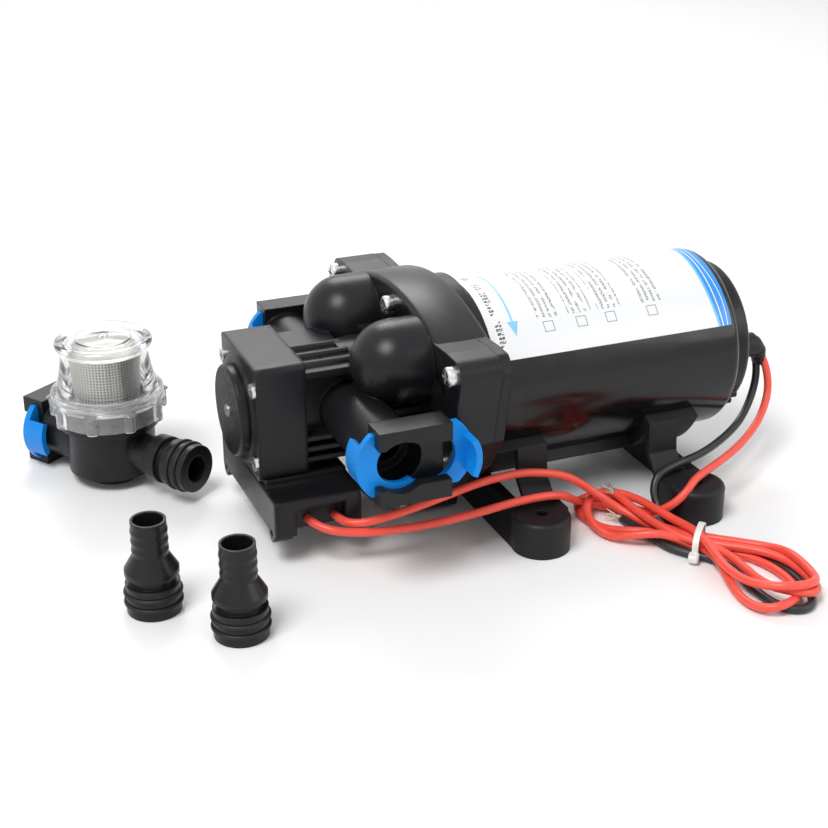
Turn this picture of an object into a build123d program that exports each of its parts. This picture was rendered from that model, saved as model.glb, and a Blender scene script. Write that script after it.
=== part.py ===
from build123d import *
import math
import os

# Caravan water pump: a five-chamber diaphragm pump with its motor, pressure switch,
# leads, inlet strainer and two hose tails. Millimetres, +Z up.
# The origin is on the floor, midway between the four foot holes.
# +X runs along the motor axis from the pump head to the rear cap, and the
# near side, with the inlet port and the leads, is -Y.

# Clearances shared by all pieces
OVERRUN = 2.0            # how far a cut passes a face
SEAT_GAP = 0.15          # round pieces that sit still inside one another
RUN_GAP = 0.05           # radial, shafts that turn
SLIDE_GAP = 0.35         # pieces that move past one another

# Motor axis and the places along it
AXIS_HEIGHT = 56.8
HEAD_FACE = -80.0        # front face of the pump head's band
BAND_DEPTH = 18.0
BAND_REAR = HEAD_FACE + BAND_DEPTH
HOUSING_DEPTH = 12.0
HOUSING_REAR = BAND_REAR + HOUSING_DEPTH
BELL_DEPTH = 15.0
BELL_REAR = HOUSING_REAR + BELL_DEPTH
CAN_LENGTH = 106.0
CAN_REAR = BELL_REAR + CAN_LENGTH

# Base bracket
FOOT_SPACING_X = 75.2
FOOT_SPACING_Y = 124.0
FOOT_RADIUS = 12.5
FOOT_HEIGHT = 15.5
FOOT_BORE = 2.6
FOOT_EDGE = 2.0
BEAM_WIDTH = 8.5
BEAM_TOP_WIDTH = 4.5
BEAM_HEIGHT = 15.0
WEB_WIDTH = 14.0
WEB_BEND_HALF = 42.0     # middle of the bracket to the web's outer face at its bend
WEB_BEND_HEIGHT = 22.0
WEB_FOOT_HALF = 48.5     # where the web meets the foot plate, from the middle
WEB_THICKNESS = 4.8
WEB_ROOT_HALF = 57.5
WEB_TIP_HEIGHT = 33.0
SADDLE_WIDTH = 24.5
SADDLE_HALF_ANGLE = 63.0
CRADLE_HALF_ANGLE = 32.0
CRADLE_WALL = 5.5
BASE_SCREW_RADIUS = 2.0
BASE_SCREW_HEAD = 3.8
BASE_SCREW_HEAD_HEIGHT = 2.4
BASE_SCREW_X = 30.0
BASE_SCREW_LENGTH = 9.0
BASE_RECESS_DEPTH = 2.8

# Motor
CAN_RADIUS = 40.3
CAN_WALL = 1.8
CAN_RIM = 4.0
LABEL_THICKNESS = 0.25
LABEL_FRONT = -48.0
LABEL_REAR = 66.5
LABEL_HALF_ANGLE = 63.0
BELL_WALL = 4.0
BELL_SKIRT = 2.5
BEARING_RADIUS = 9.5
BEARING_WIDTH = 6.0
BEARING_BOSS_WALL = 3.5
FRONT_BEARING_X = -46.5
CAP_RADIUS = 34.0
CAP_DEPTH = 9.0
CAP_EDGE = 3.0
CAP_WALL = 2.5
REAR_OPENING = 20.0
CAP_RIB_WIDTH = 2.0
CAP_RIB_HEIGHT = 1.2
GROMMET_RADIUS = 5.6
GROMMET_LENGTH = 12.0
GROMMET_NECK = 3.2
GROMMET_Y = -17.0
GROMMET_Z = -2.0
SHAFT_RADIUS = 3.0
SHAFT_REAR_GAP = 1.0
CORE_RADIUS = 29.0
CORE_FRONT = -18.0
CORE_LENGTH = 58.0
CORE_SLOTS = 12
SLOT_RADIUS = 3.6
SLOT_PITCH_RADIUS = 22.5
SLOT_MOUTH = 1.6
WINDING_RADIUS = 24.5
WINDING_LENGTH = 10.0
COMMUTATOR_RADIUS = 10.0
COMMUTATOR_LENGTH = 12.0
COMMUTATOR_BARS = 12
BAR_GAP = 0.6
MAGNET_THICKNESS = 7.0
MAGNET_FRONT = -22.0
MAGNET_LENGTH = 66.0
MAGNET_HALF_ANGLE = 66.0
HOLDER_THICKNESS = 3.0
HOLDER_BORE = 14.0
BRUSH_WIDTH = 6.0
BRUSH_THICKNESS = 8.0
BRUSH_LENGTH = 12.0
BRUSH_WALL = 1.5
SPRING_STRIP = 0.6
SPRING_WIDTH = 4.0
HOLDER_X = 55.0

# Pump head
BAND_HALF_WIDTH = 72.5
BAND_TOP = 40.6
BAND_CORNER = 4.0
# Half of the band's outline from the top down, as shares of its half width and its top height
BAND_OUTLINE_SHARES = [(0.40, 1.0), (0.62, 0.87), (0.80, 0.885), (0.93, 0.88), (1.0, 0.72),
                       (0.955, 0.42), (0.90, -0.06), (0.74, -0.46), (0.50, -0.89), (0.29, -1.17),
                       (0.27, -1.34), (0.17, -1.375)]
PUMP_CAVITY = 32.0
BAND_LIP = 5.0           # band wall in front of the valve plate's chambers
DOME_RADIUS = 18.0
DOME_WALL = 2.8
DOME_Y = 29.0
DOME_Z = 22.8
DOME_CENTRE_X = -91.0
CENTRE_RADIUS = 23.0
CENTRE_FRONT = -106.0
CENTRE_WALL = 3.0
DIVIDER_RADIUS = 18.6
DIVIDER_WALL = 2.4
WEB_THICKNESS = 3.0
SCREW_BOSS_RADIUS = 6.2
SIDE_SCREW_Y = 66.0
SIDE_SCREW_Z = 29.5
TOP_SCREW_Z = 36.3
TOP_SCREW_BOSS = 5.5
LOW_SCREW_Y = 14.0
LOW_SCREW_Z = -50.6
LOW_SIDE_Y = 50.6
LOW_SIDE_Z = -16.0
HEAD_SCREW_RADIUS = 1.95
HEAD_SCREW_HEAD = 4.1
HEAD_SCREW_HEAD_HEIGHT = 2.6
CROSS_WIDTH = 1.0
CROSS_LENGTH = 5.0
CROSS_DEPTH = 1.3
WASHER_THICKNESS = 1.4
VALVE_PLATE_DEPTH = 7.0
SHEET_THICKNESS = 2.0
CHAMBERS = 5
CHAMBER_PITCH = 19.0     # radius of the circle of pump chambers
CHAMBER_RADIUS = 8.8
CHAMBER_DEPTH = 5.0
INLET_HOLE = 1.1
INLET_HOLE_PITCH = 2.4
INLET_VALVE_OFFSET = 4.0
INLET_VALVE_RADIUS = 4.0
INLET_VALVE_THICKNESS = 0.8
VALVE_STEM_RADIUS = 0.9
VALVE_KNOB_RADIUS = 1.3
VALVE_KNOB_LENGTH = 1.6
OUTLET_HOLE = 1.3
OUTLET_HOLE_RADIUS = 12.6
OUTLET_VALVE_RADIUS = 15.6
OUTLET_VALVE_THICKNESS = 1.2
OUTLET_STEM_RADIUS = 2.0
OUTLET_KNOB_RADIUS = 3.0
PISTON_RADIUS = 6.6
PISTON_THICKNESS = 1.6
CUP_GAP = 0.5
PISTON_SCREW_RADIUS = 1.5
PISTON_SCREW_HEAD = 2.6
PISTON_SCREW_HEAD_HEIGHT = 1.0
PISTON_SCREW_LENGTH = 7.5
WOBBLE_TILT = 3.2        # degrees
WOBBLE_POST_RADIUS = 5.8
WOBBLE_DISC_RADIUS = 25.8
WOBBLE_DISC_THICKNESS = 3.5
WOBBLE_POST_LENGTH = 2.5
WOBBLE_HUB_RADIUS = 13.8
WOBBLE_BEARING_RADIUS = 11.0
WOBBLE_BEARING_WIDTH = 6.0
JOURNAL_RADIUS = 5.0
HUB_CLEARANCE = 1.2
JOURNAL_COLLAR = 7.5
JOURNAL_COLLAR_LENGTH = 1.5
HOUSING_RADIUS = 44.6
HOUSING_SHOULDER = 4.0
HOUSING_FLANGE = 4.4
HOUSING_BORE = 28.6

# Ports, on the pump head and on the strainer's inlet
PORT_X = -106.2
PORT_REACH = 78.0        # motor axis to the port's front face
PORT_BORE = 11.0
PORT_BORE_DEPTH = 22.0
PORT_PASSAGE = 7.0
PORT_BARREL = 12.8
PORT_BLOCK_FRONT = 10.0    # port axis to the block's end away from the motor
PORT_BLOCK_REAR = 20.4
PORT_BLOCK_HALF_HEIGHT = 15.9
PORT_BLOCK_DEPTH = 12.0
PORT_JAW_GAP_HALF = 8.4  # half the open height between the two jaws
CLIP_THICKNESS = 3.0
CLIP_HALF_HEIGHT = 13.2
CLIP_SETBACK = 5.6       # port face to clip
CLIP_SMALL_HOLE = 9.0
CLIP_LARGE_HOLE = 11.1
CLIP_TRAVEL = 13.0
CLIP_END_RADIUS = 17.0
CLIP_FRONT = 17.4        # port axis to the clip's end away from the motor
CLIP_REAR = 31.7
CLIP_GRIP_THICKNESS = 2.6
CLIP_GRIP_DEPTH = 12.0
CLIP_GRIP_HALF_ANGLE = 28.5

# Pressure switch
SWITCH_FACE = -148.0
SWITCH_DEPTH = 21.0
SWITCH_HALF_WIDTH = 24.4
SWITCH_TOP = 26.0
SWITCH_BOTTOM = 23.4
SWITCH_EDGE = 2.5
SWITCH_RING_RADIUS = 22.6
SWITCH_RING_DEPTH = 1.5
SWITCH_CAP_RADIUS = 19.4
SWITCH_CAP_DEPTH = 4.0
SWITCH_SCREW_Y = 20.9
SWITCH_SCREW_Z = 16.0
SWITCH_SCREW_HEAD = 3.3
SWITCH_SCREW_HEAD_HEIGHT = 1.4
SWITCH_SCREW_RADIUS = 1.6
SWITCH_SCREW_LENGTH = 26.0
SWITCH_CHAMBER_HALF = 15.0
ADJUSTER_RADIUS = 2.6
ADJUSTER_LENGTH = 9.0
ADJUSTER_PROUD = 0.6
HEX_RADIUS = 1.45
HEX_DEPTH = 2.5
SWITCH_SPRING_RADIUS = 4.6
SWITCH_SPRING_WIRE = 0.5
SWITCH_SPRING_TURNS = 5
PLUNGER_RADIUS = 9.0
PLUNGER_THICKNESS = 2.2
PLUNGER_STEM = 3.6
PLUNGER_STEM_LENGTH = 3.0
PLUNGER_TRAVEL = 1.2
PLUNGER_TAB_WIDTH = 5.0
SWITCH_SHEET_RADIUS = 18.0
SWITCH_SHEET_THICKNESS = 1.2
NECK_HALF_WIDTH = 23.5
NECK_CORE_HALF = 16.5
NECK_TOP = 21.5
NECK_PLATE = 3.0
NECK_RIB = 2.0
NECK_RIB_PITCH = 4.6
NECK_RIBS = 3
MICROSWITCH_LENGTH = 20.0
MICROSWITCH_WIDTH = 6.4
MICROSWITCH_HEIGHT = 8.0
MICROSWITCH_BUTTON = 1.2
MICROSWITCH_BUTTON_LENGTH = 1.4

# Switch box under the pressure switch
BOX_FRONT = -146.5
BOX_LENGTH = 37.5
BOX_HALF_WIDTH = 38.8
BOX_TOP = -27.0
BOX_HEIGHT = 15.7
BOX_WALL = 2.2
BOX_EDGE = 1.5
RECESS_START = 9.0
RECESS_LENGTH = 21.5
RECESS_DEPTH = 6.0
RECESS_HEIGHT = 9.5
HOOD_DROP = 3.0
COLLAR_INSET = 1.5
BOX_BOSS_RADIUS = 4.0
BOX_BOSS_DROP = 5.0
BOX_BOSS_LENGTH = 8.0
BOX_BOSS_BORE = 1.4
BOX_BOSS_Y = 33.0

# Hose tails
TAIL_RADIUS = 10.75
TAIL_HEIGHT = 39.5
TAIL_TUBE_RADIUS = 7.0
TAIL_BORE = 6.0
TAIL_SHOULDER = 18.6
TAIL_CONE = 6.4
TAIL_GROOVE_START = 12.6
TAIL_GROOVE_WIDTH = 3.8
TAIL_GROOVE_DEPTH = 2.0
RING_WIRE = 1.0          # section radius of an O-ring
RING_START = 4.4
RING_PITCH = 4.2
RING_SINK = 1.1
TAIL_LEFT_X = -200.2
TAIL_LEFT_Y = -48.5
TAIL_RIGHT_X = -173.8
TAIL_RIGHT_Y = -79.1
BARBS = 3
BARB_HEIGHT = 0.35
BARB_PITCH = 4.0

# Strainer
STRAINER_X = -188.9
STRAINER_Y = 73.9
STRAINER_TURN = -55.5    # degrees, where its spigot points
STRAINER_PORT_HEIGHT = 15.9
STRAINER_RADIUS = 19.8
STRAINER_BODY_HEIGHT = 27.0
STRAINER_FLOOR = 7.4
STRAINER_CAVITY = 16.8
STRAINER_FOOT_RADIUS = 14.6
STRAINER_FOOT_HEIGHT = 5.4
STRAINER_ROUND = 3.0
THREAD_RADIUS = 22.4
THREAD_HEIGHT = 38.0
SPIGOT_REACH = 50.5
SPIGOT_LENGTH = 22.0
SPIGOT_NECK = 8.8
STRAINER_PORT_REACH = 44.5
BOWL_RADIUS = 21.7
BOWL_TOP_RADIUS = 20.2
BOWL_HEIGHT = 68.0
BOWL_WALL = 2.2
BOWL_BEAD = 1.6
RING_OUTER = 25.4
RING_SKIRT = 24.0
RING_BOTTOM = 30.2
RING_TOP = 44.0
RING_RIM = 5.0
RING_LIP = 2.5
LUG_RADIUS = 2.6
LUG_COUNT = 9
SCREEN_RADIUS = 15.8
SCREEN_WALL = 0.8
SCREEN_TOP = 62.0
SCREEN_SEAM = 0.7


# Leads: three single cores, each laid by hand along the points below. The last points
# of a lead enter the tied hank, whose loops lie on the floor in front of the motor.
LEAD_RADIUS = 1.8
ARC_SHARE = 0.45         # arc of a corner, as a share of the shorter run
UPPER_LEAD_ROUTE = [(-119.2, -32.8, 17.4), (-118.6, -40.5, 17.2), (-111.5, -46.2, 17.8), (-96, -48.4, 20.6),
                    (-79, -48.6, 24.0), (-60, -48.2, 27.8), (-41, -47.6, 28.6), (-26, -47.6, 25.2),
                    (-15, -48.2, 19.2), (-6.5, -50, 11.4), (0.5, -54.5, 5.4)]
LOWER_LEAD_ROUTE = [(-131.2, -32.8, 18.0), (-129.4, -39.6, 17.2), (-121.5, -45.2, 15.4), (-106, -47.4, 13.2),
                    (-88, -49.5, 13.2), (-68, -52.5, 15.4), (-49, -55.5, 19.3), (-35, -57, 20.4),
                    (-21, -58.4, 18.8), (-11.5, -60, 12.6), (-4.5, -62.5, 5.8)]
RED_MOTOR_LEAD_ROUTE = [(92, -19, 54.8), (98.8, -19.4, 54.2), (102.8, -20.6, 48.8), (102, -22.8, 39.8),
                        (95.4, -27.5, 28.5), (84, -35.6, 21.4), (68, -46.6, 19.2), (51, -56.6, 19.2),
                        (35, -65, 19.2), (22, -71.5, 17.4), (13.5, -76.5, 11.8), (8, -80.5, 5.4)]
BLACK_MOTOR_LEAD_ROUTE = [(92, -15, 54.8), (98, -15, 54.3), (101, -15.6, 48.9), (98.6, -17.4, 38.5),
                          (92.5, -21.5, 28.6), (81, -28.5, 22.4), (65.5, -37.4, 19.6), (49, -46, 19.2),
                          (34, -50.4, 19.4), (23, -52.2, 17.2), (17.2, -53.4, 11.4), (15.8, -57, 5.2)]

# Hank: the leads' spare length in loops, lying on the floor and tied at its waist
HANK_HEIGHT = 7.4
HANK_CORNER = 6.0
HANK_OUTLINE = [(-13, -47), (-7, -37.5), (3, -34.5), (13, -43), (20.5, -58), (24.5, -74), (28.2, -83.6),
                (38, -88.5), (49, -95), (55.5, -108), (54, -126), (44, -142), (31, -153), (20, -150),
                (15.5, -134), (14.5, -113), (16.6, -97.2), (6, -92), (-4, -79), (-11, -63)]
TIE_X = 22.4
TIE_Y = -90.4
TIE_TURN = 48.0
TIE_WIDTH = 3.0
TIE_THICKNESS = 1.1
TIE_SPAN = 19.0
TIE_HEAD_LENGTH = 5.4
TIE_HEAD_WIDTH = 5.0
TIE_HEAD_HEIGHT = 5.4
STRAND_RADIUS = 0.25
STRAND_LENGTH = 7.0
STRAND_SPREAD = 24.0
STRAND_COUNT = 6
RED_STRANDS = (9.4, -39.6, 5.4, 78)      # place of the stripped end and its heading in degrees
BLACK_STRANDS = (6, -63.5, 8.4, 132)

def rod_x(radius, start, end, y=0, z=0):
    bar = Cylinder(radius, end - start, align=(Align.CENTER, Align.CENTER, Align.MIN))
    return Pos(start, y, z) * Rot(0, 90, 0) * bar


def rod_y(radius, start, end, x=0, z=0):
    bar = Cylinder(radius, end - start, align=(Align.CENTER, Align.CENTER, Align.MIN))
    return Pos(x, start, z) * Rot(-90, 0, 0) * bar


def rod_z(radius, start, end, x=0, y=0):
    bar = Cylinder(radius, end - start, align=(Align.CENTER, Align.CENTER, Align.MIN))
    return Pos(x, y, start) * bar


def block(x_span, y_span, z_span):
    size = (x_span[1] - x_span[0], y_span[1] - y_span[0], z_span[1] - z_span[0])
    corner = (Align.MIN, Align.MIN, Align.MIN)
    return Pos(x_span[0], y_span[0], z_span[0]) * Box(*size, align=corner)


def plate_x(face, start, end):
    # A flat outline in Y and Z, given a thickness along X
    return extrude(Plane.YZ.offset(start) * face, end - start)


def turned_x(*points):
    # Points are (x, radius)
    return revolve(Plane.XZ * make_face(Polyline(*points, close=True)), Axis.X)


def turned_z(*points):
    # Points are (radius, z)
    return revolve(Plane.XZ * make_face(Polyline(*points, close=True)), Axis.Z)


def sector(inner, outer, middle, half):
    # A piece of a ring, its middle angle counted from the first axis
    far = CenterArc((0, 0), outer, middle - half, 2 * half)
    close = CenterArc((0, 0), inner, middle - half, 2 * half)
    return make_face([far, Line(far @ 1, close @ 1), close, Line(close @ 0, far @ 0)])


def polar(radius, degrees):
    turn = math.radians(degrees)
    return radius * math.cos(turn), radius * math.sin(turn)


def on_axis(shape):
    # Pieces round the motor axis are drawn with the axis at height 0
    return Pos(0, 0, AXIS_HEIGHT) * shape


def both_ends(shape):
    return shape + mirror(shape, Plane.YZ)


def both_sides(shape):
    return shape + mirror(shape, Plane.XZ)


# Base bracket: cradle, saddles, low cross beams and four feet

FOOT_X = FOOT_SPACING_X / 2
FOOT_Y = FOOT_SPACING_Y / 2
LEG_OUTER = FOOT_X + FOOT_RADIUS - SLIDE_GAP
LEG_INNER = FOOT_X - FOOT_RADIUS


def base_bracket():
    below = 270
    cradle = sector(CAN_RADIUS, CAN_RADIUS + CRADLE_WALL, below, CRADLE_HALF_ANGLE)
    saddle = sector(CAN_RADIUS, CAN_RADIUS + CRADLE_WALL, below, SADDLE_HALF_ANGLE)
    base = on_axis(plate_x(cradle, -LEG_OUTER, LEG_OUTER))
    base += both_ends(on_axis(plate_x(saddle, LEG_OUTER - SADDLE_WIDTH, LEG_OUTER)))
    beam_outline = Polyline((LEG_OUTER, 0), (LEG_OUTER - BEAM_WIDTH, 0), (LEG_OUTER - BEAM_WIDTH, BEAM_HEIGHT),
                            (LEG_OUTER - BEAM_WIDTH + BEAM_TOP_WIDTH, BEAM_HEIGHT), close=True)
    beam = Plane.XZ.offset(-FOOT_Y) * make_face(beam_outline)
    base += both_ends(extrude(beam, 2 * FOOT_Y))
    tip_y, tip_z = polar(CAN_RADIUS + CRADLE_WALL, SADDLE_HALF_ANGLE - 90)
    tip_z = tip_z + AXIS_HEIGHT
    inner = WEB_BEND_HALF - WEB_THICKNESS
    web = make_face(Polyline((inner, WEB_TIP_HEIGHT), (inner, WEB_BEND_HEIGHT - SEAT_GAP),
                             (WEB_FOOT_HALF - WEB_THICKNESS, FOOT_HEIGHT - SEAT_GAP), (WEB_ROOT_HALF, 0),
                             (FOOT_Y, 0), (FOOT_Y, FOOT_HEIGHT), (WEB_FOOT_HALF, FOOT_HEIGHT),
                             (WEB_BEND_HALF, WEB_BEND_HEIGHT), (tip_y, tip_z), close=True))
    web = both_sides(plate_x(web, LEG_INNER, LEG_INNER + WEB_WIDTH))
    base += both_ends(web)
    base -= on_axis(rod_x(CAN_RADIUS, -CAN_LENGTH, CAN_LENGTH))
    for x in (-FOOT_X, FOOT_X):
        for y in (-FOOT_Y, FOOT_Y):
            foot = rod_z(FOOT_RADIUS, 0, FOOT_HEIGHT, x, y)
            foot = fillet(foot.edges().sort_by(Axis.Z)[-1], FOOT_EDGE)
            base += foot
    for x in (-FOOT_X, FOOT_X):
        for y in (-FOOT_Y, FOOT_Y):
            base -= rod_z(FOOT_BORE, -OVERRUN, FOOT_HEIGHT + OVERRUN, x, y)
    for x in (-BASE_SCREW_X, BASE_SCREW_X):
        base -= base_screw(x, SEAT_GAP)
    return base


def base_screw(x, gap):
    # A screw up through the cradle into the motor can
    seat = AXIS_HEIGHT - CAN_RADIUS - CRADLE_WALL + BASE_RECESS_DEPTH
    top = seat + BASE_SCREW_LENGTH
    shank = rod_z(BASE_SCREW_RADIUS + gap, seat - OVERRUN, top, x)
    depth = BASE_SCREW_HEAD_HEIGHT if gap == 0 else BASE_SCREW_HEAD_HEIGHT + OVERRUN
    return shank + rod_z(BASE_SCREW_HEAD + gap, seat - depth, seat, x)


def base_screws():
    return [base_screw(x, 0) for x in (-BASE_SCREW_X, BASE_SCREW_X)]


# Motor: drawn can, front bell, rear cap, label, magnets, brushes and rotor

def motor_can():
    can = rod_x(CAN_RADIUS, BELL_REAR, CAN_REAR)
    can = fillet(can.edges().filter_by(GeomType.CIRCLE).sort_by(Axis.X)[-1], CAN_RIM)
    can -= rod_x(CAN_RADIUS - CAN_WALL, BELL_REAR - OVERRUN, CAN_REAR - CAN_WALL)
    can -= rod_x(REAR_OPENING, BELL_REAR, CAN_REAR + OVERRUN)
    can = on_axis(can)
    for x in (-BASE_SCREW_X, BASE_SCREW_X):
        can -= base_screw(x, SEAT_GAP)
    return can


def bearing_seat(start, end):
    return rod_x(BEARING_RADIUS, start, end)


def front_bell():
    skirt_inner = CAN_RADIUS - BELL_SKIRT
    bell = rod_x(CAN_RADIUS, HOUSING_REAR, BELL_REAR)
    bell -= rod_x(skirt_inner, HOUSING_REAR + BELL_WALL, BELL_REAR + OVERRUN)
    bell += rod_x(BEARING_RADIUS + BEARING_BOSS_WALL, HOUSING_REAR, FRONT_BEARING_X + BEARING_WIDTH)
    bell -= bearing_seat(FRONT_BEARING_X, BELL_REAR)
    bell -= rod_x(SHAFT_RADIUS + SEAT_GAP + RUN_GAP, HOUSING_REAR - OVERRUN, BELL_REAR)
    return on_axis(bell)


def rear_cap():
    cap_rear = CAN_REAR + CAP_DEPTH
    cap = rod_x(CAP_RADIUS, CAN_REAR, cap_rear)
    cap = fillet(cap.edges().filter_by(GeomType.CIRCLE).sort_by(Axis.X)[-1], CAP_EDGE)
    for step in (-1, 0, 1):
        y, z = polar(CAP_RADIUS, 225 + step * 2 * math.degrees(CAP_EDGE / CAP_RADIUS))
        cap += rod_x(CAP_RIB_WIDTH, CAN_REAR, cap_rear - CAP_EDGE, y, z)
    cap -= rod_x(REAR_OPENING, CAN_REAR - OVERRUN, cap_rear - CAP_WALL)
    cap += rod_x(BEARING_RADIUS + BEARING_BOSS_WALL, CAN_REAR, cap_rear - CAP_WALL)
    cap -= bearing_seat(CAN_REAR - OVERRUN, CAN_REAR + BEARING_WIDTH)
    cap -= rod_x(GROMMET_NECK, CAN_REAR - OVERRUN, cap_rear + OVERRUN, GROMMET_Y, GROMMET_Z)
    return on_axis(cap)


def motor_label():
    face = sector(CAN_RADIUS, CAN_RADIUS + LABEL_THICKNESS, 90, LABEL_HALF_ANGLE)
    return on_axis(plate_x(face, LABEL_FRONT, LABEL_REAR))


def grommet():
    start = CAN_REAR + CAP_DEPTH
    body = rod_x(GROMMET_RADIUS, start, start + GROMMET_LENGTH, GROMMET_Y, GROMMET_Z)
    neck = rod_x(GROMMET_NECK, start - CAP_WALL, start, GROMMET_Y, GROMMET_Z)
    return on_axis(body + neck)


def magnets():
    outer = CAN_RADIUS - CAN_WALL
    arcs = []
    for middle in (0, 180):
        face = sector(outer - MAGNET_THICKNESS, outer, middle, MAGNET_HALF_ANGLE)
        arcs.append(on_axis(plate_x(face, MAGNET_FRONT, MAGNET_FRONT + MAGNET_LENGTH)))
    return arcs


def motor_bearings():
    rings = []
    for start in (FRONT_BEARING_X, CAN_REAR):
        ring = rod_x(BEARING_RADIUS, start, start + BEARING_WIDTH)
        ring -= rod_x(SHAFT_RADIUS + RUN_GAP, start - OVERRUN, start + BEARING_WIDTH + OVERRUN)
        rings.append(on_axis(ring))
    return rings


BRUSH_MIDDLE = HOLDER_X + HOLDER_THICKNESS / 2


def brush_block(side, gap):
    # A carbon brush standing on the commutator, above or below the axis
    low = COMMUTATOR_RADIUS + SLIDE_GAP
    spans = [(BRUSH_MIDDLE - BRUSH_THICKNESS / 2 - gap, BRUSH_MIDDLE + BRUSH_THICKNESS / 2 + gap),
             (-BRUSH_WIDTH / 2 - gap, BRUSH_WIDTH / 2 + gap)]
    height = sorted((side * low, side * (low + BRUSH_LENGTH)))
    return block(*spans, height)


def brush_holder():
    outer = CAN_RADIUS - CAN_WALL
    plate = rod_x(outer, HOLDER_X, HOLDER_X + HOLDER_THICKNESS)
    for side in (-1, 1):
        span = sorted((side * (HOLDER_BORE - OVERRUN), side * (HOLDER_BORE + BRUSH_LENGTH)))
        half = BRUSH_WIDTH / 2 + BRUSH_WALL
        thick = BRUSH_THICKNESS / 2 + BRUSH_WALL
        plate += block((BRUSH_MIDDLE - thick, BRUSH_MIDDLE + thick), (-half, half), span)
    plate -= rod_x(HOLDER_BORE, HOLDER_X - BRUSH_THICKNESS, HOLDER_X + 2 * BRUSH_THICKNESS)
    for side in (-1, 1):
        low, high = HOLDER_BORE, HOLDER_BORE + BRUSH_LENGTH + OVERRUN
        half = BRUSH_WIDTH / 2
        thick = BRUSH_THICKNESS / 2
        span = sorted((side * (low - OVERRUN), side * high))
        plate -= block((BRUSH_MIDDLE - thick, BRUSH_MIDDLE + thick), (-half, half), span)
    plate = on_axis(plate)
    for spring in brush_springs():
        plate -= spring
    return plate


def brushes():
    return [on_axis(brush_block(side, 0)) for side in (-1, 1)]


def brush_springs():
    # Leaf springs, each bearing on the back of its brush
    springs = []
    back = COMMUTATOR_RADIUS + SLIDE_GAP + BRUSH_LENGTH
    for side in (-1, 1):
        leaf = block((BRUSH_MIDDLE - SPRING_WIDTH / 2, BRUSH_MIDDLE + SPRING_WIDTH / 2),
                     (-BRUSH_WIDTH / 2, BRUSH_WIDTH / 2 + BRUSH_WALL + SPRING_STRIP),
                     sorted((side * back, side * (back + SPRING_STRIP))))
        foot_y = BRUSH_WIDTH / 2 + BRUSH_WALL
        leaf += block((BRUSH_MIDDLE - SPRING_WIDTH / 2, BRUSH_MIDDLE + SPRING_WIDTH / 2),
                      (foot_y, foot_y + SPRING_STRIP),
                      sorted((side * (back - BRUSH_LENGTH / 2), side * (back + SPRING_STRIP))))
        springs.append(on_axis(leaf))
    return springs


def motor_shaft():
    end = CAN_REAR + BEARING_WIDTH - SHAFT_REAR_GAP / 2
    return on_axis(rod_x(SHAFT_RADIUS, HUB_FRONT, end))


def armature_core():
    core = rod_x(CORE_RADIUS, CORE_FRONT, CORE_FRONT + CORE_LENGTH)
    core -= rod_x(SHAFT_RADIUS, CORE_FRONT - OVERRUN, CORE_FRONT + CORE_LENGTH + OVERRUN)
    for index in range(CORE_SLOTS):
        turn = index * 360 / CORE_SLOTS
        y, z = polar(SLOT_PITCH_RADIUS, turn)
        core -= rod_x(SLOT_RADIUS, CORE_FRONT - OVERRUN, CORE_FRONT + CORE_LENGTH + OVERRUN, y, z)
        mouth = block((CORE_FRONT - OVERRUN, CORE_FRONT + CORE_LENGTH + OVERRUN),
                      (SLOT_PITCH_RADIUS, CORE_RADIUS + OVERRUN), (-SLOT_MOUTH / 2, SLOT_MOUTH / 2))
        core -= Rot(turn, 0, 0) * mouth
    return on_axis(core)


def armature_windings():
    ends = []
    inner = SHAFT_RADIUS + SLOT_RADIUS
    step = WINDING_LENGTH / 4
    for start, way in ((CORE_FRONT, -1), (CORE_FRONT + CORE_LENGTH, 1)):
        ring = turned_x((start, inner), (start, WINDING_RADIUS), (start + way * (WINDING_LENGTH - step), WINDING_RADIUS),
                        (start + way * WINDING_LENGTH, WINDING_RADIUS - step), (start + way * WINDING_LENGTH, inner))
        ends.append(on_axis(ring))
    return ends


COMMUTATOR_FRONT = BRUSH_MIDDLE - COMMUTATOR_LENGTH / 2


def commutator():
    drum = rod_x(COMMUTATOR_RADIUS, COMMUTATOR_FRONT, COMMUTATOR_FRONT + COMMUTATOR_LENGTH)
    drum -= rod_x(SHAFT_RADIUS, COMMUTATOR_FRONT - OVERRUN, COMMUTATOR_FRONT + COMMUTATOR_LENGTH + OVERRUN)
    for index in range(COMMUTATOR_BARS):
        groove = block((COMMUTATOR_FRONT - OVERRUN, COMMUTATOR_FRONT + COMMUTATOR_LENGTH + OVERRUN),
                       (COMMUTATOR_RADIUS - BAR_GAP, COMMUTATOR_RADIUS + OVERRUN), (-BAR_GAP / 2, BAR_GAP / 2))
        drum -= Rot(index * 360 / COMMUTATOR_BARS, 0, 0) * groove
    return on_axis(drum)


# Wobble drive: the hub's journal leans by a few degrees, so the plate nutates and pumps

PLATE_FRONT = HEAD_FACE + BAND_LIP
PLATE_REAR = PLATE_FRONT + VALVE_PLATE_DEPTH
SHEET_REAR = PLATE_REAR + SHEET_THICKNESS
PIVOT_X = PLATE_REAR + SHEET_THICKNESS / 2
POST_REAR = SHEET_REAR + WOBBLE_POST_LENGTH
DISC_REAR = POST_REAR + WOBBLE_DISC_THICKNESS
WOBBLE_BEARING_FRONT = POST_REAR + WOBBLE_DISC_THICKNESS / 2
WOBBLE_BEARING_REAR = WOBBLE_BEARING_FRONT + WOBBLE_BEARING_WIDTH
HUB_FRONT = WOBBLE_BEARING_FRONT


def leaning(shape):
    # Pieces on the leaning journal are drawn straight and then tilted about the pivot
    return on_axis(Pos(PIVOT_X, 0, 0) * Rot(0, WOBBLE_TILT, 0) * Pos(-PIVOT_X, 0, 0) * shape)


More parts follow.
